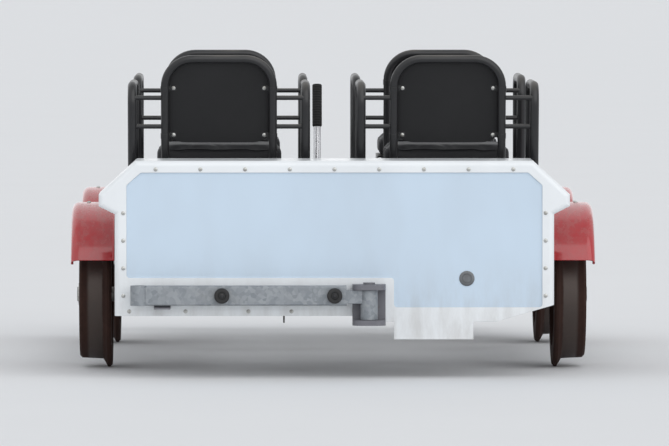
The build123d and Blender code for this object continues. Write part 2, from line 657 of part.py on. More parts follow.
def tail_shell():
    back = -FACE_Y
    end = back + TAIL_DEPTH + OVERCUT
    outer = end_plate(tail_outline(0), back, back + TAIL_DEPTH)
    rim = outer.faces().sort_by(Axis.Y)[0].edges()
    outer = fillet([e for e in rim if e.center().Z > TONGUE_Z + OVERCUT], PANEL_ROUND)
    inner = end_plate(tail_outline(PANEL_THICKNESS), back + PANEL_THICKNESS, end)
    rim = inner.faces().sort_by(Axis.Y)[0].edges()
    inner = fillet([e for e in rim if e.center().Z > TONGUE_Z + OVERCUT], PANEL_ROUND - PANEL_THICKNESS)
    shell = outer - inner
    backing = offset(tail_field(), PANEL_THICKNESS)
    shell += end_plate(backing, back + PANEL_THICKNESS / 2, back + PANEL_THICKNESS + FIELD_DEPTH)
    shell -= end_plate(tail_field(), back - OVERCUT, back + FIELD_DEPTH)
    wide = EAR_HALF_WIDTH + OVERCUT
    shell -= block(-wide, TAIL_STEP_X, back - OVERCUT, end, 0, PANEL_BOTTOM_Z)
    shell -= block(-wide, wide, back + SKIRT_DEPTH, end, 0, FRAME_Z1)
    lower = outline([
        (TAIL_STEP_X - OVERCUT, 0),
        (TAIL_STEP_X - OVERCUT, TAIL_STEP_Z),
        (TONGUE_X[0], TAIL_STEP_Z),
        (TONGUE_X[0], TONGUE_Z),
        (TONGUE_X[1], TONGUE_Z),
        (TONGUE_X[1], TAIL_STEP_Z),
        (PANEL_HALF_WIDTH - TAIL_CHAMFER[0], TAIL_STEP_Z),
        (PANEL_HALF_WIDTH + OVERCUT, TAIL_STEP_Z + TAIL_CHAMFER[1]),
        (PANEL_HALF_WIDTH + OVERCUT, 0),
    ])
    return shell - end_plate(lower, back - OVERCUT, end)


# Nose panel: a low apron with two chamfered corners
def nose_outline(inset):
    slant = inset * SLANT_SHIFT
    wide = PANEL_HALF_WIDTH - inset
    top = NOSE_TOP_Z - inset
    points = [
        (wide - NOSE_CORNER + slant, top),
        (wide, top - NOSE_CORNER + slant),
        (wide, PANEL_BOTTOM_Z),
    ]
    return outline([*points, *((-x, z) for x, z in reversed(points))])


def nose_panel():
    outer = end_plate(nose_outline(0), FACE_Y - SKIRT_DEPTH, FACE_Y)
    rim = outer.faces().sort_by(Axis.Y)[-1].edges()
    outer = fillet([e for e in rim if e.center().Z > PANEL_BOTTOM_Z + OVERCUT], PANEL_ROUND)
    inner = end_plate(nose_outline(PANEL_THICKNESS), FACE_Y - SKIRT_DEPTH - OVERCUT, PANEL_INNER_Y)
    rim = inner.faces().sort_by(Axis.Y)[-1].edges()
    inner = fillet([e for e in rim if e.center().Z > PANEL_BOTTOM_Z + OVERCUT], PANEL_ROUND - PANEL_THICKNESS)
    return outer - inner


# Fenders: a sheet over each wheel with a round shoulder, a lip along the outer edge and rolled edges
def fender(side, y):
    half_round = FENDER_THICKNESS / 2
    radius = FENDER_RADIUS + half_round
    path = FilletPolyline(
        (FENDER_INNER_X, radius),
        (FENDER_OUTER_X - half_round, radius),
        (FENDER_OUTER_X - half_round, FENDER_RADIUS - FENDER_LIP),
        radius=FENDER_ROUND)
    profile = trace(path, FENDER_THICKNESS)
    profile += Pos(FENDER_INNER_X + FENDER_BEAD, FENDER_RADIUS + FENDER_BEAD) * Circle(FENDER_BEAD)
    profile += Pos(FENDER_OUTER_X - FENDER_BEAD, FENDER_RADIUS - FENDER_LIP) * Circle(FENDER_BEAD)
    sheet = revolve(profile, axis=Axis.X, revolution_arc=180 - 2 * FENDER_END_DEG)
    body = Pos(0, y, AXLE_Z) * Rot(FENDER_END_DEG, 0, 0) * sheet
    return body if side > 0 else mirror(body, about=Plane.YZ)


def fender_stay(side, y):
    inner = FENDER_RADIUS - STAY_THICKNESS
    half = STAY_WIDTH / 2
    strap = rod_x(RAIL_OUTER_X, FENDER_OUTER_X - FENDER_LIP, y, AXLE_Z, FENDER_RADIUS)
    strap -= rod_x(RAIL_OUTER_X - OVERCUT, FENDER_OUTER_X, y, AXLE_Z, inner)
    strap &= block(RAIL_OUTER_X, FENDER_OUTER_X, y - half, y + half, AXLE_Z, AXLE_Z + 2 * FENDER_RADIUS)
    leg = block(
        RAIL_OUTER_X, RAIL_OUTER_X + STAY_THICKNESS, y - half, y + half,
        FRAME_Z0 + TUBE_HEIGHT / 4, AXLE_Z + inner)
    body = strap + leg
    return body if side > 0 else mirror(body, about=Plane.YZ)


# Side steps: a tread plate with a turned-down outer lip, on brackets from the side rail
def side_step(side):
    top = block(
        RAIL_OUTER_X, STEP_OUTER_X, -STEP_HALF_LENGTH, STEP_HALF_LENGTH, STEP_TOP_Z - STEP_THICKNESS, STEP_TOP_Z)
    lip = block(
        STEP_OUTER_X - STEP_THICKNESS, STEP_OUTER_X, -STEP_HALF_LENGTH, STEP_HALF_LENGTH,
        STEP_TOP_Z - STEP_LIP, STEP_TOP_Z)
    body = top + lip
    bend = body.edges().filter_by(Axis.Y).sort_by(Axis.X)[-2:].sort_by(Axis.Z)[-1]
    body = fillet(bend, STEP_THICKNESS)
    return body if side > 0 else mirror(body, about=Plane.YZ)


def step_bracket(side, y):
    under = STEP_TOP_Z - STEP_THICKNESS
    face = outline([
        (RAIL_OUTER_X, under),
        (STEP_OUTER_X - STEP_THICKNESS, under),
        (STEP_OUTER_X - STEP_THICKNESS, STEP_TOP_Z - STEP_LIP),
        (RAIL_OUTER_X, FRAME_Z0),
    ])
    hole_x = RAIL_OUTER_X + TUBE_WIDTH / 2
    face -= Pos(hole_x, (under + FRAME_Z0) / 2 + STEP_THICKNESS / 2) * Circle(STEP_BRACKET_HOLE)
    body = end_plate(face, y - STAY_THICKNESS / 2, y + STAY_THICKNESS / 2)
    return body if side > 0 else mirror(body, about=Plane.YZ)


def side_brackets():
    stays = [fender_stay(side, y) for _, side in SIDES for y in AXLE_Y.values()]
    brackets = [
        step_bracket(side, y)
        for _, side in SIDES
        for y in (-STEP_BRACKET_Y, STEP_BRACKET_Y)
    ]
    return stays + brackets


# Seats: a bent tube hoop, a pan with a cushion, and a bowed back plate with a pad
def seat_hoop(x, seat_y):
    half = SEAT_TUBE_HALF_WIDTH
    front = seat_y + SEAT_TUBE_LENGTH
    top_z = SEAT_TOP_Z - SEAT_TUBE_RADIUS
    top_y = seat_y - (top_z - SEAT_TUBE_Z) * RECLINE_SLOPE
    points = [
        (x - half, front, SEAT_TUBE_Z),
        (x - half, seat_y, SEAT_TUBE_Z),
        (x - half, top_y, top_z),
        (x + half, top_y, top_z),
        (x + half, seat_y, SEAT_TUBE_Z),
        (x + half, front, SEAT_TUBE_Z),
    ]
    bends = [HOOP_FOOT_BEND, HOOP_TOP_BEND, HOOP_TOP_BEND, HOOP_FOOT_BEND]
    return bent_tube(points, bends, SEAT_TUBE_RADIUS)


def seat_pan(x, seat_y):
    half = CUSHION_WIDTH / 2 - PAN_INSET
    front = seat_y + SEAT_TUBE_LENGTH + PAN_FRONT
    corner = CUSHION_CORNER / 2
    wall = PAN_THICKNESS
    pan = block(x - half, x + half, front - PAN_DEPTH, front, PAN_Z - PAN_LIP, PAN_Z + wall)
    pan = fillet(pan.edges().filter_by(Axis.Z), corner)
    rear = front - PAN_DEPTH - OVERCUT
    hollow = block(x - half + wall, x + half - wall, rear, front - wall, PAN_Z - PAN_LIP - OVERCUT, PAN_Z)
    return pan - fillet(hollow.edges().filter_by(Axis.Z).group_by(Axis.Y)[-1], corner - wall)


def seat_cushion(x, seat_y):
    half = CUSHION_WIDTH / 2
    front = seat_y + SEAT_TUBE_LENGTH + PAN_FRONT + CUSHION_FRONT
    z0 = PAN_Z + PAN_THICKNESS + SOFT_GAP
    pad = block(x - half, x + half, front - CUSHION_DEPTH, front, z0, z0 + CUSHION_THICKNESS)
    pad = fillet(pad.edges().filter_by(Axis.Z), CUSHION_CORNER)
    return fillet(pad.faces().sort_by(Axis.Z)[-1].edges(), CUSHION_EDGE)


def bowed_panel(x, seat_y, back_radius, thickness, inset):
    """A panel with rounded corners in the plane of the seat's back, bowed about an upright axis in front."""
    low, high = BACK_RISE
    height = high - low - 2 * inset
    centre_y = SEAT_TUBE_RADIUS + BACK_PLATE_GAP - BACK_BOW + BACK_RADIUS
    ring = Circle(back_radius) - Circle(back_radius - thickness)
    bow = extrude(Pos(0, centre_y, 0) * ring, amount=SEAT_TOP_Z)
    mask = Pos(0, (low + high) / 2) * RectangleRounded(BACK_WIDTH - 2 * inset, height, BACK_CORNER - inset)
    panel = end_plate(mask, -SEAT_TUBE_RADIUS, 2 * SEAT_TUBE_RADIUS + thickness) & bow
    return Pos(x, seat_y, SEAT_TUBE_Z) * Rot(RECLINE_DEG, 0, 0) * panel


def seat_back_plate(x, seat_y):
    return bowed_panel(x, seat_y, BACK_RADIUS, BACK_PLATE_THICKNESS, 0)


def seat_back_pad(x, seat_y):
    back_radius = BACK_RADIUS - BACK_PLATE_THICKNESS - SOFT_GAP
    return bowed_panel(x, seat_y, back_radius, BACK_PAD_THICKNESS, BACK_PAD_INSET)


def armrest(x, seat_y, side, hoop):
    """One armrest loop on the seat beams, with two rungs across to the seat's hoop."""
    arm_x = x + side * ARMREST_X
    top_z = ARMREST_TOP_Z - ARMREST_TUBE_RADIUS

    def back_y(z):
        return seat_y - (z - SEAT_TUBE_Z) * RECLINE_SLOPE

    front = seat_y + SEAT_BEAM_SPREAD
    points = [
        (arm_x, back_y(SEAT_BEAM_TOP_Z), SEAT_BEAM_TOP_Z),
        (arm_x, back_y(top_z), top_z),
        (arm_x, front, top_z),
        (arm_x, front, SEAT_BEAM_TOP_Z),
    ]
    body = bent_tube(points, ARMREST_BEND, ARMREST_TUBE_RADIUS)
    body -= block(
        arm_x - ARMREST_BEND, arm_x + ARMREST_BEND, seat_y - ARMREST_BEND, seat_y + ARMREST_BEND,
        SEAT_BEAM_TOP_Z - ARMREST_BEND, SEAT_BEAM_TOP_Z)
    x0, x1 = sorted((x + side * SEAT_TUBE_HALF_WIDTH, arm_x))
    for z in RUNG_Z:
        body += rod_x(x0, x1, back_y(z), z, RUNG_RADIUS)
    return body - hoop


# Tow bar: a flat bar across the tail with a pivot sleeve, a coupling eye, and two rubber buffers
def tow_bar():
    half_depth = TOW_BAR_DEPTH / 2
    z0 = TOW_Z - TOW_BAR_HEIGHT / 2
    z1 = TOW_Z + TOW_BAR_HEIGHT / 2
    sleeve_z0 = TOW_JAW_Z[0] + TOW_JAW_THICKNESS + TOW_PLAY
    sleeve_z1 = TOW_JAW_Z[1] - TOW_JAW_THICKNESS - TOW_PLAY
    swing = math.hypot(TOW_JAW_WIDTH / 2, TOW_JAW_REACH - (-TOW_Y - FACE_Y)) + RUNG_RADIUS
    neck_z0 = sleeve_z1 - TOW_NECK_HEIGHT
    body = block(TOW_EYE_X, TOW_PIVOT_X - swing, TOW_Y - half_depth, TOW_Y + half_depth, z0, z1)
    body = fillet(body.edges().filter_by(Axis.X), TOW_BAR_ROUND)
    body += block(TOW_PIVOT_X - swing, TOW_PIVOT_X, TOW_Y - half_depth, TOW_Y + half_depth, neck_z0, sleeve_z1)
    body += rod_z(TOW_PIVOT_X, TOW_Y, sleeve_z0, sleeve_z1, TOW_SLEEVE_RADIUS)
    body += rod_z(TOW_EYE_X, TOW_Y, z0, z1, TOW_SLEEVE_RADIUS)
    body -= rod_z(TOW_EYE_X, TOW_Y, z0 - OVERCUT, z1 + OVERCUT, TOW_EYE_BORE)
    pin_bore = TOW_PIN_RADIUS + RUNNING_CLEARANCE
    return body - rod_z(TOW_PIVOT_X, TOW_Y, sleeve_z0 - OVERCUT, sleeve_z1 + OVERCUT, pin_bore)


def tow_buffers():
    """Round rubber buffers on the bar's rear face, each with a pocket for its screw."""
    front = TOW_Y - TOW_BAR_DEPTH / 2
    rear = front - TOW_BUFFER_DEPTH
    buffers = []
    for x in TOW_BUFFER_X:
        body = rod_y(x, rear, front, TOW_Z, TOW_BUFFER_RADIUS)
        body = fillet(body.edges().group_by(Axis.Y)[0], TOW_BUFFER_ROUND)
        buffers.append(body - rod_y(x, rear - OVERCUT, rear + SCREW_POCKET_DEPTH, TOW_Z, SCREW_POCKET_RADIUS))
    return buffers


def jaws(z0, z1, bore):
    """Two jaw plates on a back plate, in the rear pivot's place, with a bore through both."""
    back = -FACE_Y
    half = TOW_JAW_WIDTH / 2
    x0 = TOW_PIVOT_X - half
    x1 = TOW_PIVOT_X + half
    body = block(x0, x1, back - TOW_JAW_REACH, back, z0, z1)
    body = fillet(body.edges().filter_by(Axis.Z).group_by(Axis.Y)[0], TOW_JAW_ROUND)
    body -= block(
        x0 - OVERCUT, x1 + OVERCUT, back - TOW_JAW_REACH - OVERCUT, back - TOW_JAW_THICKNESS / 2,
        z0 + TOW_JAW_THICKNESS, z1 - TOW_JAW_THICKNESS)
    return body - rod_z(TOW_PIVOT_X, TOW_Y, z0 - OVERCUT, z1 + OVERCUT, bore)


def tow_brackets():
    low, high = TOW_JAW_Z
    pivot = jaws(low, high, TOW_PIN_RADIUS)
    pivot += rod_z(TOW_PIVOT_X, TOW_Y, low, high, TOW_PIN_RADIUS)
    pivot += rod_z(TOW_PIVOT_X, TOW_Y, high, high + TOW_PIN_HEAD, TOW_PIN_HEAD_RADIUS)
    shelf_z = TOW_Z - TOW_BAR_HEIGHT / 2 - TOW_PIN_HEAD
    x0 = TOW_REST_X - TOW_REST_WIDTH / 2
    x1 = TOW_REST_X + TOW_REST_WIDTH / 2
    shelf = block(x0, x1, TOW_Y - TOW_BAR_DEPTH / 2, -FACE_Y, shelf_z - PANEL_THICKNESS, shelf_z)
    shelf += block(x0, x1, -FACE_Y - PANEL_THICKNESS, -FACE_Y, shelf_z - PANEL_THICKNESS, TOW_Z)
    return [pivot, shelf]


def front_coupler():
    half = COUPLER_GAP / 2 + TOW_JAW_THICKNESS
    return mirror(jaws(TOW_Z - half, TOW_Z + half, TOW_EYE_BORE), about=Plane.XZ)


# Front bumper: a beam in two lengths beside the coupler, with a rubber pad near each end
def front_bumper():
    z0 = TOW_Z - BUMPER_HEIGHT / 2
    z1 = TOW_Z + BUMPER_HEIGHT / 2
    return [
        block(-BUMPER_HALF_LENGTH, TOW_PIVOT_X - BUMPER_POCKET / 2, FACE_Y, FACE_Y + BUMPER_DEPTH, z0, z1),
        block(TOW_PIVOT_X + BUMPER_POCKET / 2, BUMPER_HALF_LENGTH, FACE_Y, FACE_Y + BUMPER_DEPTH, z0, z1),
    ]


def bumper_pads():
    pads = []
    for _, side in SIDES:
        x0, x1 = sorted((side * BUMPER_HALF_LENGTH, side * (BUMPER_HALF_LENGTH - BUMPER_PAD_LENGTH)))
        pad = block(
            x0, x1, FACE_Y + BUMPER_DEPTH, FACE_Y + BUMPER_DEPTH + BUMPER_PAD_DEPTH,
            TOW_Z - BUMPER_HEIGHT / 2, TOW_Z + BUMPER_HEIGHT / 2)
        pad = fillet(pad.edges().group_by(Axis.Y)[-1], BUMPER_PAD_DEPTH / 3)
        face_y = FACE_Y + BUMPER_DEPTH + BUMPER_PAD_DEPTH
        for x in (x0 + BUMPER_PAD_SCREW, x1 - BUMPER_PAD_SCREW):
            pad -= rod_y(x, face_y - SCREW_POCKET_DEPTH, face_y + OVERCUT, TOW_Z, SCREW_POCKET_RADIUS)
        pads.append(pad)
    return pads


# Brake: a caliper over the rear axle's disc, a lever between the rear seats, and the pipe between them
def brake_caliper():
    half = CALIPER_LENGTH / 2
    slot = DISC_THICKNESS / 2 + CALIPER_GAP
    z0 = FRAME_Z0 - BEARING_FOOT_THICKNESS
    body = block(
        DISC_X - CALIPER_WIDTH / 2, DISC_X + CALIPER_WIDTH / 2, CALIPER_Y - half, CALIPER_Y + half, z0, FRAME_Z1)
    body = fillet(body.edges().filter_by(Axis.X), half / 2)
    throat = rod_x(DISC_X - slot, DISC_X + slot, AXLE_Y["rear"], AXLE_Z, DISC_RADIUS + GUARD_HOLE_CLEARANCE)
    return body - throat


def brake_bracket():
    """A flat arm from the spine to the caliper's side."""
    half = CALIPER_LENGTH / 4
    return block(
        DISC_X + CALIPER_WIDTH / 2, -TUBE_WIDTH / 2, CALIPER_Y - half, CALIPER_Y + half,
        FRAME_Z1 - TUBE_HEIGHT / 2, FRAME_Z1 - TUBE_HEIGHT / 4)


def lever_bracket():
    inner = LEVER_BOSS_WIDTH / 2 + LEVER_CHEEK_GAP
    outer = inner + LEVER_CHEEK
    reach = LEVER_CHEEK_REACH
    body = block(
        LEVER_X - outer, TUBE_WIDTH / 2, LEVER_Y - reach, LEVER_Y + reach, FRAME_Z1, FRAME_Z1 + LEVER_CHEEK)
    for x0 in (LEVER_X - outer, LEVER_X + inner):
        body += block(x0, x0 + LEVER_CHEEK, LEVER_Y - reach, LEVER_Y + reach, FRAME_Z1, LEVER_PIVOT_Z)
        body += rod_x(x0, x0 + LEVER_CHEEK, LEVER_Y, LEVER_PIVOT_Z, reach)
    rear = LEVER_Y - reach
    body += rod_y(LEVER_X, rear - CYLINDER_LENGTH, rear + LEVER_CHEEK, CYLINDER_Z, CYLINDER_RADIUS)
    return body - rod_x(
        LEVER_X - 2 * outer, LEVER_X + 2 * outer, LEVER_Y, LEVER_PIVOT_Z, LEVER_PIN_RADIUS + RUNNING_CLEARANCE)


def lever_place(part):
    return Pos(LEVER_X, LEVER_Y, LEVER_PIVOT_Z) * Rot(-LEVER_LEAN_DEG, 0, 0) * part


def brake_lever():
    half = LEVER_BOSS_WIDTH / 2
    pin = half + LEVER_CHEEK_GAP + LEVER_CHEEK
    body = rod_x(-half, half, 0, 0, LEVER_BOSS_RADIUS)
    body += rod_x(-pin, pin, 0, 0, LEVER_PIN_RADIUS)
    body += rod_z(0, 0, 0, LEVER_LENGTH, LEVER_RADIUS)
    return lever_place(body)


def lever_grip():
    grip = rod_z(0, 0, LEVER_LENGTH - LEVER_GRIP_LENGTH, LEVER_LENGTH + LEVER_CHEEK, LEVER_GRIP_RADIUS)
    grip = fillet(grip.edges(), LEVER_CHEEK)
    return lever_place(grip - rod_z(0, 0, 0, LEVER_LENGTH, LEVER_RADIUS))


def brake_pipe():
    """A steel pipe from the master cylinder on the lever's bracket to the caliper's front."""
    start_y = LEVER_Y - LEVER_CHEEK_REACH - CYLINDER_LENGTH
    end_x = DISC_X + CALIPER_WIDTH / 3
    end_y = CALIPER_Y + CALIPER_LENGTH / 2
    end_z = FRAME_Z1 - TUBE_HEIGHT / 3
    points = [
        (LEVER_X, start_y, CYLINDER_Z),
        (LEVER_X, start_y - TUBE_WIDTH, CYLINDER_Z),
        (end_x, end_y + TUBE_WIDTH, end_z),
        (end_x, end_y, end_z),
    ]
    return bent_tube(points, PIPE_BEND, PIPE_RADIUS)


def build():
    seats = [(side * SEAT_X, seat_y) for _, seat_y, _ in ROWS for _, side in SIDES]
    hoops = {seat: seat_hoop(*seat) for seat in seats}
    write("side_rails", side_rails())
    write("end_beams", end_beams())
    write("cross_members", cross_members())
    write("long_members", long_members())
    write("axle_bearings", [bearing(x, y) for x in (-RAIL_X, RAIL_X) for y in AXLE_Y.values()])
    write("seat_posts", seat_posts())
    write("seat_beams", seat_beams())
    write("crank_posts", [crank_post(side * SEAT_X, crank_y) for _, _, crank_y in ROWS for _, side in SIDES])
    write("tail_shell", [tail_shell()])
    write("nose_panel", [nose_panel()])
    write("front_bumper", front_bumper())
    write("bumper_pads", bumper_pads())
    write("front_coupler", [front_coupler()])
    write("tow_brackets", tow_brackets())
    write("fenders", [fender(side, y) for _, side in SIDES for y in AXLE_Y.values()])
    write("side_brackets", side_brackets())
    write("side_steps", [side_step(side) for _, side in SIDES])
    write("seat_hoops", list(hoops.values()))
    write("armrests", [armrest(x, y, side, hoops[(x, y)]) for x, y in seats for _, side in SIDES])
    write("seat_pans", [seat_pan(*seat) for seat in seats])
    write("seat_cushions", [seat_cushion(*seat) for seat in seats])
    write("back_plates", [seat_back_plate(*seat) for seat in seats])
    write("back_pads", [seat_back_pad(*seat) for seat in seats])
    write("brake_caliper", [brake_caliper()])
    write("brake_bracket", [brake_bracket()])
    write("lever_bracket", [lever_bracket()])
    write("brake_pipe", [brake_pipe()])
    write("brake_lever", [brake_lever()])
    write("lever_grip", [lever_grip()])
    write("tow_bar", [tow_bar()])
    write("tow_buffers", tow_buffers())
    write("chains", [chain(row, side, crank_y) for row, _, crank_y in ROWS for _, side in SIDES])
    write("chain_guards", [chain_guard(row, side, crank_y) for row, _, crank_y in ROWS for _, side in SIDES])
    for row, axle_y in AXLE_Y.items():
        write(f"{row}_axle", [axle(row)])
        write(f"{row}_wheels", [wheel(side, axle_y) for _, side in SIDES])
    angle = 0
    for row, _, crank_y in ROWS:
        for name, side in SIDES:
            angle += CRANK_STEP_DEG
            x = side * SEAT_X
            write(f"{row}_{name}_crankset", [crankset(x, crank_y, angle)])
            for end, end_side in (("inner", -side), ("outer", side)):
                write(f"{row}_{name}_{end}_pedal", [pedal(x, crank_y, angle, end_side)])


os.makedirs("parts", exist_ok=True)
build()
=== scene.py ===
import bmesh
import bpy
import numpy as np
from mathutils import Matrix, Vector


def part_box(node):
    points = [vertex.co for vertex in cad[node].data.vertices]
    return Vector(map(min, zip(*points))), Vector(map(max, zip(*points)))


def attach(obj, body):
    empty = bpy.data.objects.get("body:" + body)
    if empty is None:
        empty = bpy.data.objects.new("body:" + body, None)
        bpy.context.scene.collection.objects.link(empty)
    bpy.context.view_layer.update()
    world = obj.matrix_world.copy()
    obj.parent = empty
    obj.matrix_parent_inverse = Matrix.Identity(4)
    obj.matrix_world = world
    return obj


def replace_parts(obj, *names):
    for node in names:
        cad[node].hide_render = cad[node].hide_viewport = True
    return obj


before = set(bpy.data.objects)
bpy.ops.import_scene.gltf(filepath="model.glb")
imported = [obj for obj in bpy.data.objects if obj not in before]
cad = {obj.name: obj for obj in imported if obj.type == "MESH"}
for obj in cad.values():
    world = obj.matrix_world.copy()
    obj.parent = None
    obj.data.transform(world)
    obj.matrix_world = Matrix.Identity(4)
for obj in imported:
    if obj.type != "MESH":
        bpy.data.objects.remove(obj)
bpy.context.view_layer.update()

# Viewpoint: 1.3 m up, a little left of the middle and about 22 m behind the tail. A long lens fills the
# picture with the cart from there, and view_width is what it takes in at the tail.
eye = Vector((-0.25, -23.64, 1.325))
aim = Vector((0.0, -1.34, 0.47))
view_width = 2.02
far_limit = 2000.0
camera_data = bpy.data.cameras.new("camera")
camera_data.lens = camera_data.sensor_width * (aim - eye).length / view_width
camera_data.clip_end = far_limit
camera = bpy.data.objects.new("camera", camera_data)
camera.location = eye
camera.rotation_euler = (aim - eye).to_track_quat("-Z", "Y").to_euler()
bpy.context.scene.collection.objects.link(camera)
bpy.context.scene.camera = camera
bpy.context.scene.view_settings.view_transform = "Standard"


# Studio: a wide pale matt floor in a pale surround that lights the cart evenly, and three broad soft
# lamps, from behind the eye, from the left and from ahead. A colour shows about as it is.
class Wire:
    """A value between shader nodes. Sums, differences and products of wires add Math nodes."""

    def __init__(self, tree, socket):
        self.tree = tree
        self.socket = socket

    def node(self, kind, settings=None, sockets=None, out=0):
        """Any node: its settings first, then the values or wires of its sockets. Gives one output."""
        made = self.tree.nodes.new(kind)
        for key, value in (settings or {}).items():
            setattr(made, key, value)
        for key, value in (sockets or {}).items():
            if isinstance(value, Wire):
                self.tree.links.new(value.socket, made.inputs[key])
            else:
                made.inputs[key].default_value = value
        return Wire(self.tree, made.outputs[out])

    def math(self, operation, first, second=0.0):
        return self.node("ShaderNodeMath", {"operation": operation}, {0: first, 1: second})

    def __add__(self, other):
        return self.math("ADD", self, other)

    def __sub__(self, other):
        return self.math("SUBTRACT", self, other)

    def __rsub__(self, other):
        return self.math("SUBTRACT", other, self)

    def __mul__(self, other):
        return self.math("MULTIPLY", self, other)

    __radd__ = __add__
    __rmul__ = __mul__

    def magnitude(self):
        return self.math("ABSOLUTE", self)

    def root(self):
        return self.math("SQRT", self)

    def sine(self):
        return self.math("SINE", self)

    def larger(self, other):
        return self.math("MAXIMUM", self, other)

    def axis(self, name):
        return self.node("ShaderNodeSeparateXYZ", {}, {0: self}, name)

    def scaled(self, x, y, z):
        """The same coordinates, stretched along each axis."""
        return self.node("ShaderNodeMapping", {}, {"Vector": self, "Scale": (x, y, z)})

    def noise(self, scale, detail=4.0, roughness=0.55):
        return self.node("ShaderNodeTexNoise", {}, {
            "Vector": self, "Scale": scale, "Detail": detail, "Roughness": roughness})

    def step(self, low, high):
        """0 below low, 1 above high, and smooth between."""
        return self.node(
            "ShaderNodeMapRange", {"interpolation_type": "SMOOTHSTEP"},
            {"Value": self, "From Min": low, "From Max": high})

    def tint(self, first, second):
        """The first colour where the wire is 0 and the second where it is 1."""
        colours = [c if isinstance(c, Wire) else (*c, 1.0) for c in (first, second)]
        return self.node("ShaderNodeMix", {"data_type": "RGBA"}, {0: self, 6: colours[0], 7: colours[1]}, 2)

    def bump(self, strength, distance, normal=None):
        sockets = {"Height": self, "Strength": strength, "Distance": distance}
        if normal:
            sockets["Normal"] = normal
        return self.node("ShaderNodeBump", {}, sockets)

    def soft_edges(self, radius):
        """A normal that rounds sharp edges off by the radius."""
        return self.node("ShaderNodeBevel", {"samples": 4}, {"Radius": radius})

    def upward(self):
        """The upward part of the surface's normal."""
        return self.node("ShaderNodeTexCoord", out="Normal").axis("Z")


def finish(name, recipe):
    """A material. The recipe takes Object coordinates and gives the shader's sockets."""
    material = bpy.data.materials.new(name)
    material.use_nodes = True
    tree = material.node_tree
    shader = tree.nodes["Principled BSDF"]
    place = Wire(tree, tree.nodes.new("ShaderNodeTexCoord").outputs["Object"])
    for key, value in recipe(place).items():
        if isinstance(value, Wire):
            tree.links.new(value.socket, shader.inputs[key])
        else:
            shader.inputs[key].default_value = value
    return material


floor_reach = 600.0
floor_mesh = bpy.data.meshes.new("floor")
floor_corners = [(-floor_reach, -floor_reach, 0), (floor_reach, -floor_reach, 0),
                 (floor_reach, floor_reach, 0), (-floor_reach, floor_reach, 0)]
floor_mesh.from_pydata(floor_corners, [], [(0, 1, 2, 3)])
floor = bpy.data.objects.new("floor", floor_mesh)
bpy.context.scene.collection.objects.link(floor)
floor_mesh.materials.append(finish("floor", lambda place: {
    "Base Color": place.noise(1.5).tint((0.80, 0.81, 0.82), (0.78, 0.79, 0.80)),
    "Roughness": 0.9,
}))

surround_light = (0.44, 0.45, 0.47)
surround_seen = (0.70, 0.72, 0.74)
world = bpy.data.worlds.new("studio")
bpy.context.scene.world = world
world.use_nodes = True
surround = world.node_tree.nodes["Background"]
ray = Wire(world.node_tree, world.node_tree.nodes.new("ShaderNodeLightPath").outputs["Is Camera Ray"])
seen = ray.larger(ray.node("ShaderNodeLightPath", out="Is Glossy Ray"))
seen = seen.larger(ray.node("ShaderNodeLightPath", out="Is Transmission Ray"))
world.node_tree.links.new(seen.tint(surround_light, surround_seen).socket, surround.inputs["Color"])
surround.inputs["Strength"].default_value = 1.0

# Each lamp has the direction its light comes from, its strength and its spread in radians.
lamps = {
    "key": ((0.50, -0.80, 0.55), 1.55, 1.4),
    "left": ((-0.75, -0.45, 0.40), 0.5, 1.5),
    "ahead": ((-0.25, 0.85, 0.50), 0.6, 1.5),
}
for name, (toward, strength, spread) in lamps.items():
    light = bpy.data.lights.new(name, "SUN")
    light.energy = strength
    light.angle = spread
    lamp = bpy.data.objects.new(name, light)
    lamp.rotation_euler = Vector(toward).to_track_quat("Z", "Y").to_euler()
    bpy.context.scene.collection.objects.link(lamp)


# Welded steel frame: rectangular tubes, posts, brackets and stays, powder coated dark grey after
# welding. The coat has a fine orange peel, grey dust on what faces up, and rusty chips low down beside
# the wheels.
def painted(name, colour, roughness=0.42):
    """Powder coat of one colour, which fades a little lighter in patches."""
    faded_colour = tuple(c * 1.6 + 0.004 for c in colour)
    dust_colour = (0.23, 0.21, 0.18)
    rust_colour = (0.13, 0.045, 0.02)

    def recipe(place):
        peel = place.noise(420.0, 2.0)
        patches = place.noise(6.0, 6.0)
        dust = place.upward().step(0.3, 1.0) * patches.step(0.35, 0.75)
        low = 1 - place.axis("Z").step(0.16, 0.34)
        chips = place.noise(55.0, 5.0, 0.7).step(0.63, 0.68) * low
        faded = patches.tint(colour, faded_colour)
        dusty = (dust * 0.45).tint(faded, dust_colour)
        return {
            "Base Color": chips.tint(dusty, rust_colour),
            "Roughness": dust * 0.3 + chips * 0.3 + roughness,
            "Normal": peel.bump(0.12, 0.0006, place.soft_edges(0.0015)),
        }
    return finish(name, recipe)


def wear(material, *names):
    """Puts one material on CAD nodes."""
    for name in names:
        mesh = cad[name].data
        mesh.materials.clear()
        mesh.materials.append(material)


frame_paint = painted("frame_paint", (0.035, 0.038, 0.042))
wear(frame_paint, "side_rails", "end_beams", "cross_members", "long_members", "seat_posts", "seat_beams",
     "crank_posts", "side_brackets", "brake_bracket", "lever_bracket")


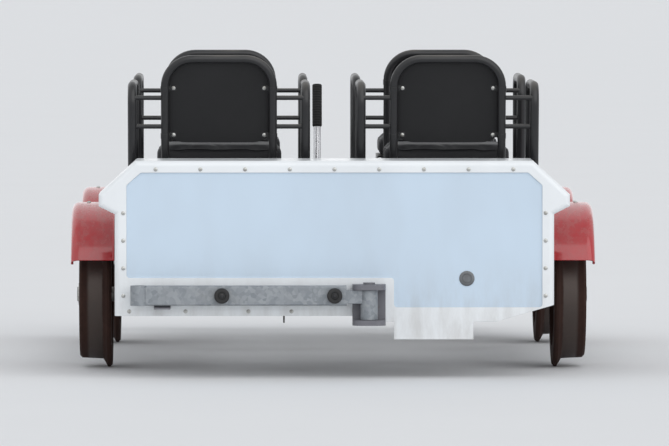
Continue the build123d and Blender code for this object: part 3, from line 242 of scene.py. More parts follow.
# Bearing bolts: zinc-plated hexagon bolts with washers clamp the feet of the axle bearings to the side
# rails. Their heads are under the feet and their nuts on top of the rails.
def turned(profile, places, axis, sides=20, phase=0.0):
    """A profile of (radius, height) carried round an axis at each place. A point is
    place + radius (u cos t + v sin t) + height w, where w is the axis and u and v are square to it."""
    profile = np.asarray(profile, float)
    places = np.atleast_2d(np.asarray(places, float))
    w = np.broadcast_to(np.asarray(axis, float), places.shape)
    w = w / np.linalg.norm(w, axis=1, keepdims=True)
    helper = np.where(np.abs(w[:, :1]) > 0.7, (0.0, 1.0, 0.0), (1.0, 0.0, 0.0))
    u = np.cross(w, helper)
    u = u / np.linalg.norm(u, axis=1, keepdims=True)
    v = np.cross(w, u)
    t = np.linspace(0, 2 * np.pi, sides, endpoint=False)[:, None] + phase
    ring = u[:, None] * np.cos(t) + v[:, None] * np.sin(t)
    return (places[:, None, None] + profile[:, 0][:, None, None] * ring[:, None]
            + profile[:, 1][:, None, None] * w[:, None, None])


def join(name, patches, material, body):
    """One piece from patches of points (copies, rows, columns, 3). Each copy's grid becomes quads,
    closed round its columns, and points that coincide, as at a pole, become one."""
    points, quads, start = [], [], 0
    for patch in patches:
        copies, rows, columns, _ = patch.shape
        i, j = np.meshgrid(np.arange(rows - 1), np.arange(columns), indexing="ij")
        k = (j + 1) % columns
        near, far = i * columns, (i + 1) * columns
        grid = np.stack([near + j, near + k, far + k, far + j], -1)
        shift = start + np.arange(copies)[:, None, None] * rows * columns
        quads.append((grid.reshape(1, -1, 4) + shift).reshape(-1, 4))
        points.append(patch.reshape(-1, 3))
        start += copies * rows * columns
    mesh = bpy.data.meshes.new(name)
    mesh.from_pydata(np.concatenate(points).tolist(), [], np.concatenate(quads).tolist())
    work = bmesh.new()
    work.from_mesh(mesh)
    bmesh.ops.remove_doubles(work, verts=work.verts, dist=1e-6)
    bmesh.ops.recalc_face_normals(work, faces=work.faces)
    work.to_mesh(mesh)
    work.free()
    return place_piece(name, mesh, material, body)


def place_piece(name, mesh, material, body):
    """Links a mesh as a piece that rides on a body, shaded smooth between sharp edges."""
    mesh.polygons.foreach_set("use_smooth", np.ones(len(mesh.polygons), bool))
    mesh.set_sharp_from_angle(angle=0.6)
    mesh.materials.clear()
    mesh.materials.append(material)
    piece = bpy.data.objects.new(name, mesh)
    bpy.context.scene.collection.objects.link(piece)
    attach(piece, body)
    return piece


def zinc_plate(place):
    film = place.noise(60.0, 4.0)
    return {
        "Base Color": film.step(0.5, 0.8).tint((0.52, 0.52, 0.50), (0.24, 0.22, 0.19)),
        "Metallic": 0.85,
        "Roughness": film * 0.3 + 0.28,
        "Normal": film.bump(0.1, 0.0004),
    }


def bolt_patches(places, axis, across=0.019, height=0.011):
    """A washer and a hexagon head with a chamfered crown, turned from their radii and heights."""
    r = across / 2
    washer = 0.25 * height
    round_part = [(0, 0), (1.25 * r, 0), (1.25 * r, washer), (0, washer)]
    head = [(0, washer), (1.12 * r, washer), (1.12 * r, 0.9 * height), (0.95 * r, height), (0, height)]
    return [turned(round_part, places, axis, 16), turned(head, places, axis, 6)]


def spots(xs, ys, zs):
    """Every place on a lattice of x, y and z."""
    return np.stack(np.meshgrid(xs, ys, zs, indexing="ij"), -1).reshape(-1, 3)


plated = finish("zinc_plate", zinc_plate)
rail_half = 0.020
foot_thickness = 0.014
bolt_reach = 0.053
rail_low, rail_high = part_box("side_rails")
axle_low, axle_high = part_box("front_axle")
rail_x = rail_high.x - rail_half
axle_y = (axle_low.y + axle_high.y) / 2
axle_z = (axle_low.z + axle_high.z) / 2
bolt_ys = [s * axle_y + d for s in (-1, 1) for d in (-bolt_reach, bolt_reach)]
join("bearing_bolts", [
    *bolt_patches(spots((-rail_x, rail_x), bolt_ys, (rail_low.z - foot_thickness,)), (0, 0, -1)),
    *bolt_patches(spots((-rail_x, rail_x), bolt_ys, (rail_high.z,)), (0, 0, 1)),
], plated, "chassis")


# Seat beam plugs: square plugs of black rubber pushed into the open ends of the beams under the seats.
# Each has a low chamfered head that covers the tube's edge.
def rubber(place):
    bloom = place.noise(12.0, 5.0, 0.6)
    grain = place.noise(500.0, 2.0)
    return {
        "Base Color": bloom.step(0.35, 0.8).tint((0.012, 0.012, 0.013), (0.035, 0.034, 0.033)),
        "Roughness": bloom * 0.2 + 0.62,
        "Normal": grain.bump(0.2, 0.0004, place.soft_edges(0.0015)),
    }


black_rubber = finish("black_rubber", rubber)
row_step = 1.10
beam_low, beam_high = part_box("seat_beams")
beam_half = (beam_high.z - beam_low.z) / 2
beam_z = (beam_low.z + beam_high.z) / 2
beam_ys = [beam_low.y + beam_half, beam_high.y - beam_half]
beam_ys += [beam_ys[0] + row_step, beam_ys[1] - row_step]
plug = [(0, 0), (beam_half * 1.30, 0), (beam_half * 1.30, 0.002), (beam_half * 1.22, 0.004), (0, 0.004)]
join("beam_plugs", [
    turned(plug, spots((side * beam_high.x,), beam_ys, (beam_z,)), (side, 0, 0), 4, np.pi / 4)
    for side in (-1, 1)
], black_rubber, "chassis")


# Weld beads: rippled beads of weld metal round both ends of the seat posts, the ends of the cross
# members and the feet of the armrests, under the same coat as the frame.
def bead(path, radius, steady, ripple=0.0):
    """A round bead along a closed path: place + r (u cos t + steady sin t), where u is square to the
    path and to the steady direction. The radius r swells and sinks by the ripple from point to point."""
    ahead = np.roll(path, -1, 0) - np.roll(path, 1, 0)
    u = np.cross(ahead, steady)
    u /= np.linalg.norm(u, axis=1, keepdims=True)
    t = np.linspace(0, 2 * np.pi, 8, endpoint=False)[:, None]
    section = u[:, None] * np.cos(t) + steady * np.sin(t)
    r = radius * (1 + ripple * (-1.0) ** np.arange(len(path)))
    rows = path[:, None] + r[:, None, None] * section
    return np.concatenate([rows, rows[:1]])[None]


def frame_path(middle, u, v, half_u, half_v, step=0.002):
    """A rectangle about a place, along u and v, as a closed run of evenly spaced points."""
    a = np.arange(-half_u, half_u, step)
    b = np.arange(-half_v, half_v, step)
    along = np.concatenate([a, np.full(len(b), half_u), -a, np.full(len(b), -half_u)])
    across = np.concatenate([np.full(len(a), -half_v), b, np.full(len(a), half_v), -b])
    return middle + along[:, None] * u + across[:, None] * v


sideways, forward, upright = np.eye(3)
ripple = 0.15
post_bead, member_bead, arm_bead = 0.0028, 0.0026, 0.0024
tube_half_wide, tube_half_high = 0.0203, 0.0303
arm_tube_radius = 0.0142
member_ys = (-1.000, 0.060, 0.460, 1.160)
arm_xs = (-0.615, -0.085, 0.085, 0.615)
post_low, post_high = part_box("seat_posts")
rail_z = (rail_low.z + rail_high.z) / 2
round_angle = np.linspace(0, 2 * np.pi, 48, endpoint=False)[:, None]
round_path = np.cos(round_angle) * sideways + np.sin(round_angle) * forward
post_welds = [
    bead(frame_path((x, y, z), sideways, forward, tube_half_wide, tube_half_wide),
         post_bead, upright, ripple)
    for x in (-rail_x, rail_x) for y in beam_ys for z in (post_low.z, post_high.z)]
member_welds = [
    bead(frame_path((x, y, rail_z), forward, upright, tube_half_wide, tube_half_high),
         member_bead, sideways, ripple)
    for x in (rail_half - rail_x, rail_x - rail_half) for y in member_ys]
arm_welds = [
    bead((x, y, beam_high.z) + arm_tube_radius * round_path, arm_bead, upright, ripple)
    for x in arm_xs for y in beam_ys]
join("frame_welds", post_welds + member_welds + arm_welds, frame_paint, "chassis")

# Wheels: cast iron with flanges, left bare. A band of each tread is worn bright, and the rest is brown
# with rust and brake dust. A thin nut and a washer hold each wheel on its axle.
worn_radius = (0.1955, 0.1970)
worn_inner = (0.710, 0.716)
worn_outer = (0.752, 0.764)


def wheel_iron(place):
    """Rusty iron. The worn band is found by the radius about the axle and the distance sideways."""
    rust = place.noise(26.0, 8.0, 0.65)
    pits = place.noise(160.0, 4.0)
    y = place.axis("Y").magnitude() - axle_y
    z = place.axis("Z") - axle_z
    radius = (y * y + z * z).root()
    x = place.axis("X").magnitude() + rust * 0.006
    band = radius.step(*worn_radius) * x.step(*worn_inner) * (1 - x.step(*worn_outer))
    brown = rust.tint((0.018, 0.009, 0.008), (0.052, 0.024, 0.017))
    return {
        "Base Color": (band * 0.45).tint(brown, (0.14, 0.125, 0.115)),
        "Metallic": band * 0.5,
        "Roughness": 0.86 - band * 0.40,
        "Specular IOR Level": 0.2,
        "Normal": (rust + pits * 0.5).bump(0.35, 0.0015, place.soft_edges(0.002)),
    }


def oily_steel(name, colour, rough, oil=1.0):
    """Bare metal under a patchy film of dark oil and dust, from 0 for clean to 1."""
    def recipe(place):
        film = place.noise(18.0, 6.0, 0.6)
        fine = place.noise(240.0, 3.0)
        return {
            "Base Color": (film.step(0.3, 0.75) * oil).tint(colour, (0.05, 0.04, 0.032)),
            "Metallic": 1 - film.step(0.45, 0.8) * (0.7 * oil),
            "Roughness": film * 0.4 + rough,
            "Normal": (fine * 0.3 + film).bump(0.12, 0.0008, place.soft_edges(0.001)),
        }
    return finish(name, recipe)


wear(finish("wheel_iron", wheel_iron), "rear_wheels", "front_wheels")
wear(oily_steel("axle_steel", (0.42, 0.41, 0.39), 0.18), "rear_axle", "front_axle")
wear(oily_steel("bearing_iron", (0.16, 0.16, 0.165), 0.4), "axle_bearings")
hub_depth = 0.010
wheel_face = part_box("front_wheels")[1].x - hub_depth
bore = 0.022
hub_washer = [(bore, 0), (0.040, 0), (0.040, 0.003), (bore, 0.003), (bore, 0)]
hub_nut = [(bore, 0.003), (0.036, 0.003), (0.036, 0.013), (0.033, 0.016), (bore, 0.016), (bore, 0.003)]
for row, way in (("rear", -1), ("front", 1)):
    patches = []
    for side in (-1, 1):
        hub = spots((side * wheel_face,), (way * axle_y,), (axle_z,))
        patches.append(turned(hub_washer, hub, (side, 0, 0), 32))
        patches.append(turned(hub_nut, hub, (side, 0, 0), 6))
    join(f"{row}_hub_nuts", patches, plated, f"{row}_wheelset")

# Pedal drive: alloy cranksets in shells on the carriers, half-inch roller chains down to the axle's
# sprockets, and black steel guards. A chain is inner and outer plates in turn, on rollers a pitch apart.
drives = [(row, side) for row in ("rear", "front") for side in ("left", "right")]
crank_alloy = oily_steel("crank_alloy", (0.60, 0.61, 0.63), 0.22)
wear(crank_alloy, *(f"{row}_{side}_crankset" for row, side in drives))
black_paint = painted("black_paint", (0.008, 0.008, 0.009), 0.33)
wear(black_paint, "chain_guards")
chain_steel = oily_steel("chain_steel", (0.26, 0.24, 0.21), 0.25)
pitch = 0.0127
ring_teeth, sprocket_teeth = 44, 24
ring_radius = pitch / 2 / np.sin(np.pi / ring_teeth)
sprocket_radius = pitch / 2 / np.sin(np.pi / sprocket_teeth)
crank_turns = np.radians(35) * np.arange(1, 5)


def chain_pins(crank, axle, tooth):
    """Pin places in (y, z), evenly along the tangent loop round both wheels. The straight runs leave
    each circle at the heading of the centres plus and minus the arc cosine of the radii's difference
    over the distance. The loop is moved on so that a pin lies midway between two of the chainring's
    teeth, on its far side."""
    run = axle - crank
    heading = np.arctan2(run[1], run[0])
    lean = np.arccos((ring_radius - sprocket_radius) / np.hypot(*run))
    small = np.linspace(heading + lean, heading - lean, 90)
    large = np.linspace(heading - lean, heading + lean - 2 * np.pi, 180)
    loop = np.concatenate([
        axle + sprocket_radius * np.stack([np.cos(small), np.sin(small)], -1),
        crank + ring_radius * np.stack([np.cos(large), np.sin(large)], -1)])
    loop = np.concatenate([loop, loop[:1]])
    travel = np.concatenate([[0], np.cumsum(np.hypot(*np.diff(loop, axis=0).T))])
    count = 2 * round(travel[-1] / pitch / 2)
    tooth_step = 2 * np.pi / ring_teeth
    far_side = heading - np.pi
    gap_angle = tooth + (round((far_side - tooth) / tooth_step - 0.5) + 0.5) * tooth_step
    start = np.interp(heading - lean - gap_angle, large[0] - large, travel[len(small):-1])
    at = np.sort((start + np.arange(count) * travel[-1] / count) % travel[-1])
    return np.stack([np.interp(at, travel, loop[:, 0]), np.interp(at, travel, loop[:, 1])], -1)


def link_plates(x, starts, ends, offset, thick=0.0010, radius=0.0042):
    """A waisted plate from each start pin to its end pin, in (y, z), at an offset along x: an oval round
    both pins, drawn in by a third at its middle."""
    t = np.linspace(0, 2 * np.pi, 14, endpoint=False)
    along = ends - starts
    half = np.linalg.norm(along, axis=1, keepdims=True) / 2
    along = along / (2 * half)
    across = np.stack([-along[:, 1], along[:, 0]], -1)
    middle = (starts + ends) / 2
    out = np.clip(1.6 * np.cos(t), -1, 1)
    waist = 1 - 0.33 * np.exp(-(out * 2.2) ** 2)
    flat = (middle[:, None] + (half * out + radius * np.cos(t))[..., None] * along[:, None]
            + (radius * np.sin(t) * waist)[None, :, None] * across[:, None])
    rows = np.stack([np.broadcast_to(middle[:, None], flat.shape), flat, flat,
                     np.broadcast_to(middle[:, None], flat.shape)], 1)
    xs = x + offset + np.array([-0.5, -0.5, 0.5, 0.5])[:, None] * thick
    return np.concatenate([np.broadcast_to(xs[None, :, :, None], (*rows.shape[:3], 1)), rows], -1)


def centre_of(node):
    low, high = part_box(node)
    return (low + high) / 2


chain_line = 0.045
inner_offset, outer_offset = 0.0026, 0.0038
roller = [(0, -0.0021), (0.0039, -0.0021), (0.0039, 0.0021), (0, 0.0021)]
pin = [(0, -0.0045), (0.0018, -0.0045), (0.0018, 0.0045), (0, 0.0045)]
links = []
for (row, side), crank_turn in zip(drives, crank_turns):
    axle = np.array([centre_of(f"{row}_axle").y, axle_z])
    crank = centre_of(f"{row}_{side}_crankset")
    x = crank.x + chain_line
    pins = chain_pins(np.array([crank.y, crank.z]), axle, crank_turn)
    following = np.roll(pins, -1, 0)
    for way in (-1, 1):
        links.append(link_plates(x, pins[0::2], following[0::2], way * inner_offset))
    for way in (-1, 1):
        links.append(link_plates(x, pins[1::2], following[1::2], way * outer_offset))
    places = np.column_stack([np.full(len(pins), x), pins])
    links.append(turned(roller, places, (1, 0, 0), 8))
    links.append(turned(pin, places, (1, 0, 0), 6))
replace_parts(join("chain_links", links, chain_steel, "chassis"), "chains")

# Crank fixings: a hexagon bolt in each end of the spindle, and five sleeve bolts between the holes of
# each ring. They turn with their crank.
spindle_half = 0.078
ring_half = 0.002
bolt_circle = 0.052
arms = 5
sleeve = [(0, 0), (0.0055, 0), (0.0055, 0.0016), (0.0030, 0.0016), (0.0030, 0.0008), (0, 0.0008)]
for (row, side), crank_turn in zip(drives, crank_turns):
    crank = np.array(centre_of(f"{row}_{side}_crankset"))
    angles = crank_turn + np.pi / arms + np.arange(arms) * 2 * np.pi / arms
    ring_bolts = crank + bolt_circle * np.stack([0 * angles, np.cos(angles), np.sin(angles)], -1)
    fixings = []
    for way in (-1, 1):
        end = crank + way * spindle_half * sideways
        fixings += bolt_patches(end, (way, 0, 0), 0.014, 0.007)
        face = ring_bolts + (chain_line + way * ring_half) * sideways
        fixings.append(turned(sleeve, face, (way, 0, 0), 12))
    join(f"{row}_{side}_crank_bolts", fixings, plated, f"{row}_{side}_crank")


# Pedals and back shells: black moulded plastic with a fine grain, greyed by the sun. Each pedal is
# moulded round its pin, and each shell closes the back of a seat.
def black_plastic(place):
    grain = place.noise(260.0, 3.0)
    fade = place.noise(5.0, 4.0)
    return {
        "Base Color": fade.tint((0.008, 0.008, 0.009), (0.017, 0.017, 0.018)),
        "Roughness": grain * 0.15 + 0.50,
        "Specular IOR Level": 0.3,
        "Normal": grain.bump(0.3, 0.0005, place.soft_edges(0.001)),
    }


wear(finish("moulded_black", black_plastic), "back_plates", *(
    f"{row}_{side}_{end}_pedal" for row, side in drives for end in ("inner", "outer")))

# Tail moulding: one hand-laid fibreglass cover in white gelcoat, white round the flat field. The field's
# pale blue is painted shade, the white face as it looks in shade under a blue sky. It is glossy, with a
# faint ripple, fine scuffs, and dirt that rises from the lower edge. Plated screws hold it.
# The field colour is painted shade: the pale blue of the white gelcoat in shade under a blue sky.
skylit_shade_blue = (0.59, 0.71, 0.83)
gel_white = (0.84, 0.87, 0.89)
tail_low, tail_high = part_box("tail_shell")
field_depth = 0.004
field_y = tail_low.y + field_depth
field_border = 0.036
field_top = tail_high.z - field_border
field_side = 0.628
shoulder_x = 0.600
shoulder_run, shoulder_drop = 0.112, 0.102
slope = np.arctan2(shoulder_drop, shoulder_run)
shoulder_reach = shoulder_x * np.sin(slope) + tail_high.z * np.cos(slope) - field_border


def gelcoat(name, field, border, inside):
    """Gelcoat with a field and a border colour. inside gives 1 on the field and 0 on the border."""
    chalky_border = tuple(c * 0.94 for c in border)
    chalky_field = tuple(c * 0.90 + 0.03 for c in field)

    def recipe(place):
        ripple = place.scaled(1.0, 1.0, 0.5).noise(7.0, 2.0)
        scuffs = place.scaled(40.0, 40.0, 9.0).noise(3.0, 6.0, 0.7)
        rising = 1 - place.axis("Z").step(0.10, 0.40)
        grime = rising * place.scaled(9.0, 9.0, 2.5).noise(2.0, 6.0, 0.65).step(0.30, 0.75)
        mask = inside(place)
        fresh = mask.tint(border, field)
        chalky = mask.tint(chalky_border, chalky_field)
        aged = ripple.step(0.3, 0.8).tint(fresh, chalky)
        marked = (scuffs.step(0.68, 0.80) * 0.15).tint(aged, (0.42, 0.44, 0.46))
        return {
            "Base Color": (grime * 0.40).tint(marked, (0.30, 0.27, 0.24)),
            "Roughness": grime * 0.4 + scuffs.step(0.5, 0.9) * 0.15 + 0.28,
            "Coat Weight": 0.3,
            "Coat Roughness": 0.12,
            "Normal": ripple.bump(0.10, 0.004, place.soft_edges(0.002)),
        }
    return finish(name, recipe)


def within(value, edge):
    """1 up to just past an edge, and 0 beyond it."""
    return 1 - value.step(edge + 0.0003, edge + 0.0008)


def sunken_field(place):
    """1 on the sunken field: on its plane, under its top, between its sides and inside both slants."""
    x, y, z = place.axis("X").magnitude(), place.axis("Y"), place.axis("Z")
    slant = x * float(np.sin(slope)) + z * float(np.cos(slope))
    plane = y.step(field_y - 0.0012, field_y - 0.0006) * (1 - y.step(field_y + 0.0005, field_y + 0.0009))
    return plane * within(z, field_top) * within(x, field_side) * within(slant, float(shoulder_reach))


wear(gelcoat("tail_gelcoat", skylit_shade_blue, gel_white, sunken_field), "tail_shell")
dome = [(0, 0), (0.0065, 0), (0.0062, 0.0012), (0.0045, 0.0026), (0.0018, 0.0032), (0.0008, 0.0020),
        (0, 0.0020)]
screw_inset = 0.026
top_screws = np.linspace(-0.54, 0.54, 9)
side_screw_x = 0.638
side_screw_zs = np.linspace(0.25, 0.50, 4)
low_screws, low_screw_z = (-0.62, -0.45, -0.26, -0.13), 0.203
border_places = np.concatenate([
    spots(top_screws, (tail_low.y,), (tail_high.z - screw_inset,)),
    spots((-side_screw_x, side_screw_x), (tail_low.y,), side_screw_zs),
    spots(low_screws, (tail_low.y,), (low_screw_z,)),
])
join("tail_screws", [turned(dome, border_places, (0, -1, 0), 12)], plated, "chassis")

# Nose panel: a white fibreglass apron over the front beam, finished like the tail's border. The same
# pan-head screws hold it, along its top edge and down both sides.
wear(gelcoat("nose_gelcoat", gel_white, gel_white, lambda place: place.axis("Z").step(0, 1)), "nose_panel")
nose_low, nose_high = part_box("nose_panel")
apron_xs = (nose_low.x + screw_inset, nose_high.x - screw_inset)
apron_zs = np.linspace(0.20, 0.35, 3)
apron_places = np.concatenate([
    spots(top_screws, (nose_high.y,), (nose_high.z - screw_inset,)),
    spots(apron_xs, (nose_high.y,), apron_zs),
])
join("nose_screws", [turned(dome, apron_places, (0, 1, 0), 12)], plated, "chassis")

# Tail hatch lock: a round grey steel cam lock at the lower right of the field, with a small turning disc
# over its keyhole. Its rosette is pressed into the moulding.
lock_steel = oily_steel("lock_steel", (0.20, 0.21, 0.22), 0.34, 0.5)
lock_place = (0.40, field_y, 0.302)
rosette = [(0, 0), (0.023, 0), (0.023, 0.0015), (0.0205, 0.0032), (0.014, 0.0032), (0.0135, 0.0018),
           (0.0130, 0.0036), (0, 0.0039)]
join("tail_lock", [turned(rosette, [lock_place], (0, -1, 0), 40)], lock_steel, "chassis")


# Fenders: red gelcoat over fibreglass, each moulded in one piece and held to its stays by four screws.
# Dust on the crown breaks the gloss, and the red is paler and deeper in fine streaks.
def red_gelcoat(place):
    streaks = place.scaled(3.0, 1.0, 3.0).noise(14.0, 5.0, 0.6)
    dust = place.upward().step(0.2, 1.0) * streaks.step(0.3, 0.8)
    red = streaks.tint((0.48, 0.012, 0.018), (0.38, 0.009, 0.014))
    return {
        "Base Color": (dust * 0.30).tint(red, (0.40, 0.33, 0.30)),
        "Roughness": dust * 0.3 + 0.18,
        "Coat Weight": 0.6,
        "Coat Roughness": 0.06,
        "Normal": streaks.bump(0.05, 0.002, place.soft_edges(0.002)),
    }


wear(finish("red_gelcoat", red_gelcoat), "fenders")
fender_radius = 0.286
fender_screw_angle = 0.075
fender_screw_xs = (0.70, 0.755)
fender_patches = []
for side in (-1, 1):
    for way in (-1, 1):
        for angle in (-fender_screw_angle, fender_screw_angle):
            out = np.array([0.0, np.sin(angle), np.cos(angle)])
            base = np.array([0.0, way * axle_y, axle_z]) + fender_radius * out
            across = side * np.outer(fender_screw_xs, sideways)
            fender_patches.append(turned(dome, base + across, out, 12))
join("fender_screws", fender_patches, plated, "chassis")


# Side steps: aluminium plate folded down along its outer edge, with raised lozenges rolled into the top.
# Each step lies on brackets that stand out from the side rail.
def aluminium(place):
    rolled = place.scaled(1.0, 60.0, 1.0).noise(8.0, 4.0)
    dirt = place.noise(7.0, 6.0, 0.6)
    return {
        "Base Color": dirt.step(0.35, 0.85).tint((0.46, 0.47, 0.48), (0.30, 0.285, 0.265)),
        "Metallic": 0.85 - dirt.step(0.5, 0.85) * 0.35,
        "Roughness": rolled * 0.15 + dirt * 0.2 + 0.38,
        "Normal": rolled.bump(0.06, 0.0004, place.soft_edges(0.001)),
    }


def lozenges(xs, ys, top, length=0.024, width=0.006, height=0.0014):
    """Low domes on a lattice, turned a quarter one way and the other in turn: rings of an ellipse that
    shrink as they rise."""
    i, j = np.meshgrid(np.arange(len(xs)), np.arange(len(ys)), indexing="ij")
    heading = np.where((i + j) % 2 == 0, np.pi / 4, -np.pi / 4).ravel()
    places = spots(xs, ys, (top,))
    t = np.linspace(0, 2 * np.pi, 10, endpoint=False)
    shrink, rise = np.array([1.0, 0.75, 0.0]), np.array([0.0, height, height])
    local_x = shrink[:, None] * length / 2 * np.cos(t)
    local_y = shrink[:, None] * width / 2 * np.sin(t)
    c, s = np.cos(heading)[:, None, None], np.sin(heading)[:, None, None]
    x = places[:, 0][:, None, None] + c * local_x - s * local_y
    y = places[:, 1][:, None, None] + s * local_x + c * local_y
    z = np.broadcast_to(places[:, 2][:, None, None] + rise[:, None], x.shape)
    return np.stack([x, y, z], -1)


tread_aluminium = finish("tread_aluminium", aluminium)
wear(tread_aluminium, "side_steps")
step_low, step_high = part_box("side_steps")
tread_spacing = 0.022
inner_margin, outer_margin, rear_margin, front_margin = 0.020, 0.012, 0.014, 0.010
tread_x = np.arange(rail_high.x + inner_margin, step_high.x - outer_margin, tread_spacing)
tread_y = np.arange(step_low.y + rear_margin, step_high.y - front_margin, tread_spacing)
join("step_treads", [
    lozenges(side * tread_x, tread_y, step_high.z) for side in (-1, 1)
], tread_aluminium, "chassis")


# Tow bar and bumper beam: hot-dip galvanised steel, with the zinc's spangle and white bloom. The bar's
# buffers and the bumper's pads are rubber, each with a screw and washer in its pocket, black on the bar
# and plated on the bumper. The jaws are painted dark grey.
def zinc(place):
    spangle = place.node("ShaderNodeTexVoronoi", {}, {"Vector": place, "Scale": 90.0}, "Color").axis("X")
    bloom = place.noise(9.0, 6.0, 0.6)
    grey = spangle.tint((0.22, 0.24, 0.26), (0.33, 0.35, 0.37))
    return {
        "Base Color": (bloom.step(0.5, 0.8) * 0.4).tint(grey, (0.38, 0.38, 0.375)),
        "Metallic": 0.5,
        "Roughness": spangle * 0.14 + bloom * 0.25 + 0.36,
        "Normal": bloom.bump(0.08, 0.0015, place.soft_edges(0.0015)),
    }


wear(finish("zinc", zinc), "tow_bar", "front_bumper")
wear(painted("coupler_paint", (0.12, 0.12, 0.135)), "tow_brackets", "front_coupler", "brake_caliper")
wear(black_rubber, "tow_buffers", "bumper_pads")
pocket = 0.005
buffer_radius = 0.023
buffer_low, buffer_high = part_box("tow_buffers")
tow_z = (buffer_low.z + buffer_high.z) / 2
buffer_xs = (buffer_low.x + buffer_radius, buffer_high.x - buffer_radius)
buffer_screw = [(0, 0), (0.010, 0), (0.010, 0.0012), (0.006, 0.0014), (0.005, 0.0035), (0, 0.0038)]
join("buffer_washers", [
    turned(buffer_screw, spots(buffer_xs, (buffer_low.y + pocket,), (tow_z,)), (0, -1, 0), 20),
], black_paint, "tow_bar")
pad_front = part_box("bumper_pads")[1].y
pad_screw_xs = (-0.565, -0.435, 0.435, 0.565)
pad_screw = [(0, 0), (0.012, 0), (0.012, 0.0012), (0.006, 0.0014), (0.005, 0.0040), (0, 0.0042)]
join("bumper_screws", [
    turned(pad_screw, spots(pad_screw_xs, (pad_front - pocket,), (tow_z,)), (0, 1, 0), 20),
], plated, "chassis")

# Brake lever: a plated steel rod with a black rubber grip, which has rings moulded round it and is
# pushed on. The lever leans forwards by ten degrees at rest. The pipe from it to the caliper is bare
# dull steel.
wear(oily_steel("plated_steel", (0.66, 0.66, 0.68), 0.10, 0.25), "brake_lever")
wear(chain_steel, "brake_pipe")
lever_lean = np.radians(10.0)
grip_pitch = 0.008


def ribbed_rubber(place):
    """Rubber with rings: the sine of the distance along the leaning lever."""
    along = place.axis("Z") * float(np.cos(lever_lean)) + place.axis("Y") * float(np.sin(lever_lean))
    rings = (along * (2 * np.pi / grip_pitch)).sine().step(-0.4, 0.6)
    dust = place.noise(30.0, 4.0)
    return {
        "Base Color": (rings * dust).tint((0.010, 0.010, 0.010), (0.030, 0.029, 0.028)),
        "Roughness": dust * 0.2 + 0.6,
        "Specular IOR Level": 0.3,
        "Normal": rings.bump(0.8, 0.0012),
    }


wear(finish("ribbed_rubber", ribbed_rubber), "lever_grip")


# Seats: vinyl covers sewn over foam, with piping along the seams, on a steel pan below and a moulded
# shell behind, in black painted hoops. Each is blown up by cloth pressure from the solid's shape, and
# the seams follow its swollen edge.
def vinyl(place):
    grain = place.node("ShaderNodeTexVoronoi", {}, {"Vector": place, "Scale": 420.0}, "Distance")
    folds = place.noise(16.0, 5.0)
    return {
        "Base Color": folds.tint((0.010, 0.010, 0.012), (0.020, 0.020, 0.023)),
        "Roughness": grain * 0.2 + folds * 0.15 + 0.38,
        "Specular IOR Level": 0.35,
        "Normal": (grain * 0.5 + folds).bump(0.25, 0.0010),
    }


def points_of(mesh):
    flat = np.empty(len(mesh.vertices) * 3)
    mesh.vertices.foreach_get("co", flat)
    return flat.reshape(-1, 3)


def rear_left_solid(node):
    """The rear left seat's solid out of a node, as points (triangles, 3, 3)."""
    mesh = cad[node].data
    corners = np.empty(len(mesh.loops), int)
    mesh.loops.foreach_get("vertex_index", corners)
    triangles = points_of(mesh)[corners].reshape(-1, 3, 3)
    middle = triangles.mean(1)
    low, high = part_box(node)
    return triangles[(middle[:, 0] < 0) & (middle[:, 1] < (low.y + high.y) / 2)]


pad_pressure = 4.0
cloth_steps = 20
pad_lift = 0.0004


def stuffed(name, node, basis, inset, cap, voxel, bow):
    """A pad's swollen mesh and its middle. The solid is drawn in from its sides by the inset, remeshed
    and blown up by cloth pressure along its own axes, and no point moves further than the cap. Its
    underside stays a pad's lift above what carries it, which rises by the bow times the square of the
    distance from the middle."""
    corners = rear_left_solid(node).reshape(-1, 3)
    middle = (corners.min(0) + corners.max(0)) / 2
    local = (corners - middle) @ basis
    low, high = local.min(0), local.max(0)
    middle = middle + (low + high) / 2 @ basis.T
    local = local - (low + high) / 2
    half = (high - low) / 2
    mesh = bpy.data.meshes.new(name)
    faces = np.arange(len(local)).reshape(-1, 3)
    mesh.from_pydata((local * (1 - inset / half)).tolist(), [], faces.tolist())
    work = bmesh.new()
    work.from_mesh(mesh)
    bmesh.ops.remove_doubles(work, verts=work.verts, dist=1e-5)
    work.to_mesh(mesh)
    work.free()
    pad = bpy.data.objects.new(name, mesh)
    bpy.context.scene.collection.objects.link(pad)
    remesh = pad.modifiers.new("remesh", "REMESH")
    remesh.mode = "VOXEL"
    remesh.voxel_size = voxel
    graph = bpy.context.evaluated_depsgraph_get()
    pad.data = bpy.data.meshes.new_from_object(pad.evaluated_get(graph))
    pad.modifiers.clear()
    points = points_of(pad.data)
    cloth = pad.modifiers.new("cloth", "CLOTH")
    cloth.settings.use_pressure = True
    cloth.settings.uniform_pressure_force = pad_pressure
    cloth.settings.effector_weights.gravity = 0
    for step in range(1, cloth_steps + 1):
        bpy.context.scene.frame_set(step)
    graph = bpy.context.evaluated_depsgraph_get()
    moved = points_of(bpy.data.meshes.new_from_object(pad.evaluated_get(graph))) - points
    pad.modifiers.clear()
    bpy.context.scene.frame_set(1)
    far = np.maximum(np.linalg.norm(moved, axis=1, keepdims=True), 1e-9)
    points = points + moved * np.minimum(1, cap / far)
    rest = -half[2] + bow * points[:, 0] ** 2 + pad_lift
    points[:, 2] = np.maximum(points[:, 2], rest)
    pad.data.vertices.foreach_set("co", points.ravel())
    smooth = pad.modifiers.new("smooth", "SUBSURF")
    smooth.levels = smooth.render_levels = 1
    graph = bpy.context.evaluated_depsgraph_get()
    made = bpy.data.meshes.new_from_object(pad.evaluated_get(graph))
    bpy.data.objects.remove(pad)
    return made, middle


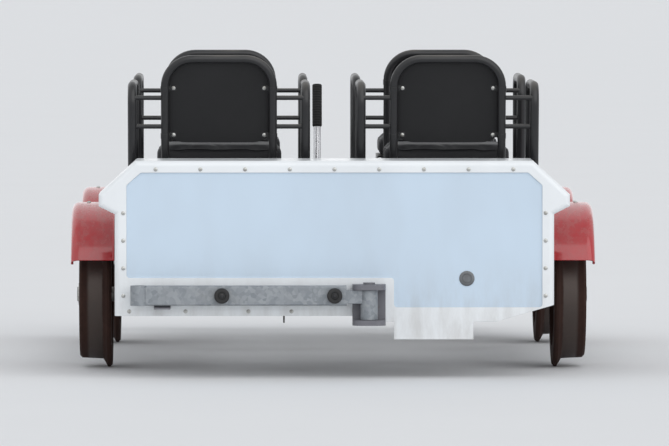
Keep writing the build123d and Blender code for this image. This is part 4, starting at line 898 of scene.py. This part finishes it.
def seam(points, lean, bins=160):
    """A closed seam in a pad's own axes: in each bin of the angle about the middle, the point that
    reaches furthest outwards and, by the lean, upwards, smoothed round the loop."""
    angle = np.arctan2(points[:, 1], points[:, 0])
    index = np.floor((angle + np.pi) / (2 * np.pi) * bins).astype(int) % bins
    order = np.lexsort((np.hypot(points[:, 0], points[:, 1]) + lean * points[:, 2], index))
    loop = points[order[np.searchsorted(index[order], np.arange(bins), side="right") - 1]]
    for _ in range(3):
        loop = (np.roll(loop, 1, 0) + 2 * loop + np.roll(loop, -1, 0)) / 4
    return loop


seat_vinyl = finish("seat_vinyl", vinyl)
wear(seat_vinyl, "seat_cushions", "back_pads")
wear(black_paint, "seat_hoops", "armrests", "seat_pans")
seat_gap = 2 * abs(centre_of("rear_left_crankset").x)
seats = [(f"{row}_{side}", np.array([x, y, 0.0])) for side, x in (("left", 0.0), ("right", seat_gap))
         for row, y in (("rear", 0.0), ("front", row_step))]
recline = np.radians(12.0)
back_up = np.array([0.0, -np.sin(recline), np.cos(recline)])
back_out = np.array([0.0, np.cos(recline), np.sin(recline)])
back_curve = 2.522
seam_radius = 0.0024
seam_leans = (0.9, -0.9)
# Each pad: its node and name, its own axes, the inset, the cap, the voxel, and how its underside bows.
pads = (
    ("seat_cushions", "cushion", (sideways, forward, upright),
     (0.014, 0.014, 0.008), 0.014, 0.0060, 0.0),
    ("back_pads", "back_pad", (sideways, -back_up, back_out),
     (0.009, 0.009, 0.005), 0.010, 0.0055, 0.5 / back_curve),
)
for node, name, axes, inset, cap, voxel, bow in pads:
    basis = np.stack(axes, 1)
    mesh, middle = stuffed(name, node, basis, np.array(inset), cap, voxel, bow)
    local = points_of(mesh)
    piping = [middle + bead(seam(local, lean), seam_radius, upright) @ basis.T for lean in seam_leans]
    for seat, shift in seats:
        own = mesh.copy()
        own.vertices.foreach_set("co", (middle + shift + local @ basis.T).ravel())
        cover = place_piece(f"{seat}_{name}", own, seat_vinyl, "chassis")
        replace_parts(cover, node)
    join(f"{name}_piping", [loop + shift for loop in piping for _, shift in seats], seat_vinyl,
         "chassis")

# Hoop plugs: domed caps of black rubber, pressed into the front ends of the bent tubes that carry each
# seat. Each seat has two, one under each side of its cushion.
hoop_half = 0.165
hoop_rise = 0.0525
hoop_front = 0.385
rear_seat_y = -1.0
row_ys = (rear_seat_y, rear_seat_y + row_step)
hoop_xs = [s * seat_gap / 2 + e * hoop_half for s in (-1, 1) for e in (-1, 1)]
hoop_ends = spots(hoop_xs, [y + hoop_front for y in row_ys], (post_high.z + hoop_rise,))
cap_profile = [(0, 0), (0.0125, 0), (0.0125, 0.002), (0.0105, 0.005), (0.006, 0.0068), (0, 0.0072)]
join("hoop_plugs", [turned(cap_profile, hoop_ends, forward, 24)], black_rubber, "chassis")

# Back shell clips: four pressed steel P-clips hold each moulded back to the hoop behind it. Each wraps
# the tube and is riveted to the shell beside it.
tube_radius = 0.0125
strap = 0.0012
clip_half = 0.008
clip_heights = (0.115, 0.262)
foot_aside, foot_half = 0.024, 0.011
foot_ahead = 0.0130
rivet_aside = 0.002


def block_patch(middle, axes, halves):
    """A box as a closed tube of four sides: two end points, and between them two squares carried along
    the last axis."""
    u, v, w = axes
    a, b, c = halves
    signs = np.array([(-1, -1), (1, -1), (1, 1), (-1, 1)], float)
    square = signs[:, :1] * a * u + signs[:, 1:] * b * v
    ends = [np.repeat(way * c * w[None], 4, 0) for way in (-1, 1)]
    rows = np.stack([ends[0], square - c * w, square + c * w, ends[1]])
    return (middle + rows)[None]


clip_patches = []
rivets = []
clip_band = [(tube_radius, -clip_half), (tube_radius + strap, -clip_half), (tube_radius + strap, clip_half),
             (tube_radius, clip_half), (tube_radius, -clip_half)]
for seat_x in (-seat_gap / 2, seat_gap / 2):
    for seat_y in row_ys:
        for end in (-1, 1):
            for height in clip_heights:
                bend = np.array([seat_x + end * hoop_half, seat_y, post_high.z + hoop_rise])
                tube = bend + height * back_up
                foot = tube - end * foot_aside * sideways + foot_ahead * back_out
                rivet = foot - end * rivet_aside * sideways - strap / 2 * back_out
                clip_patches.append(turned(clip_band, tube, back_up, 24))
                clip_patches.append(
                    block_patch(foot, (sideways, back_up, back_out), (foot_half, clip_half, strap / 2)))
                rivets.append(turned(dome, rivet, -back_out, 12))
join("back_clips", clip_patches, black_paint, "chassis")
join("back_rivets", rivets, plated, "chassis")
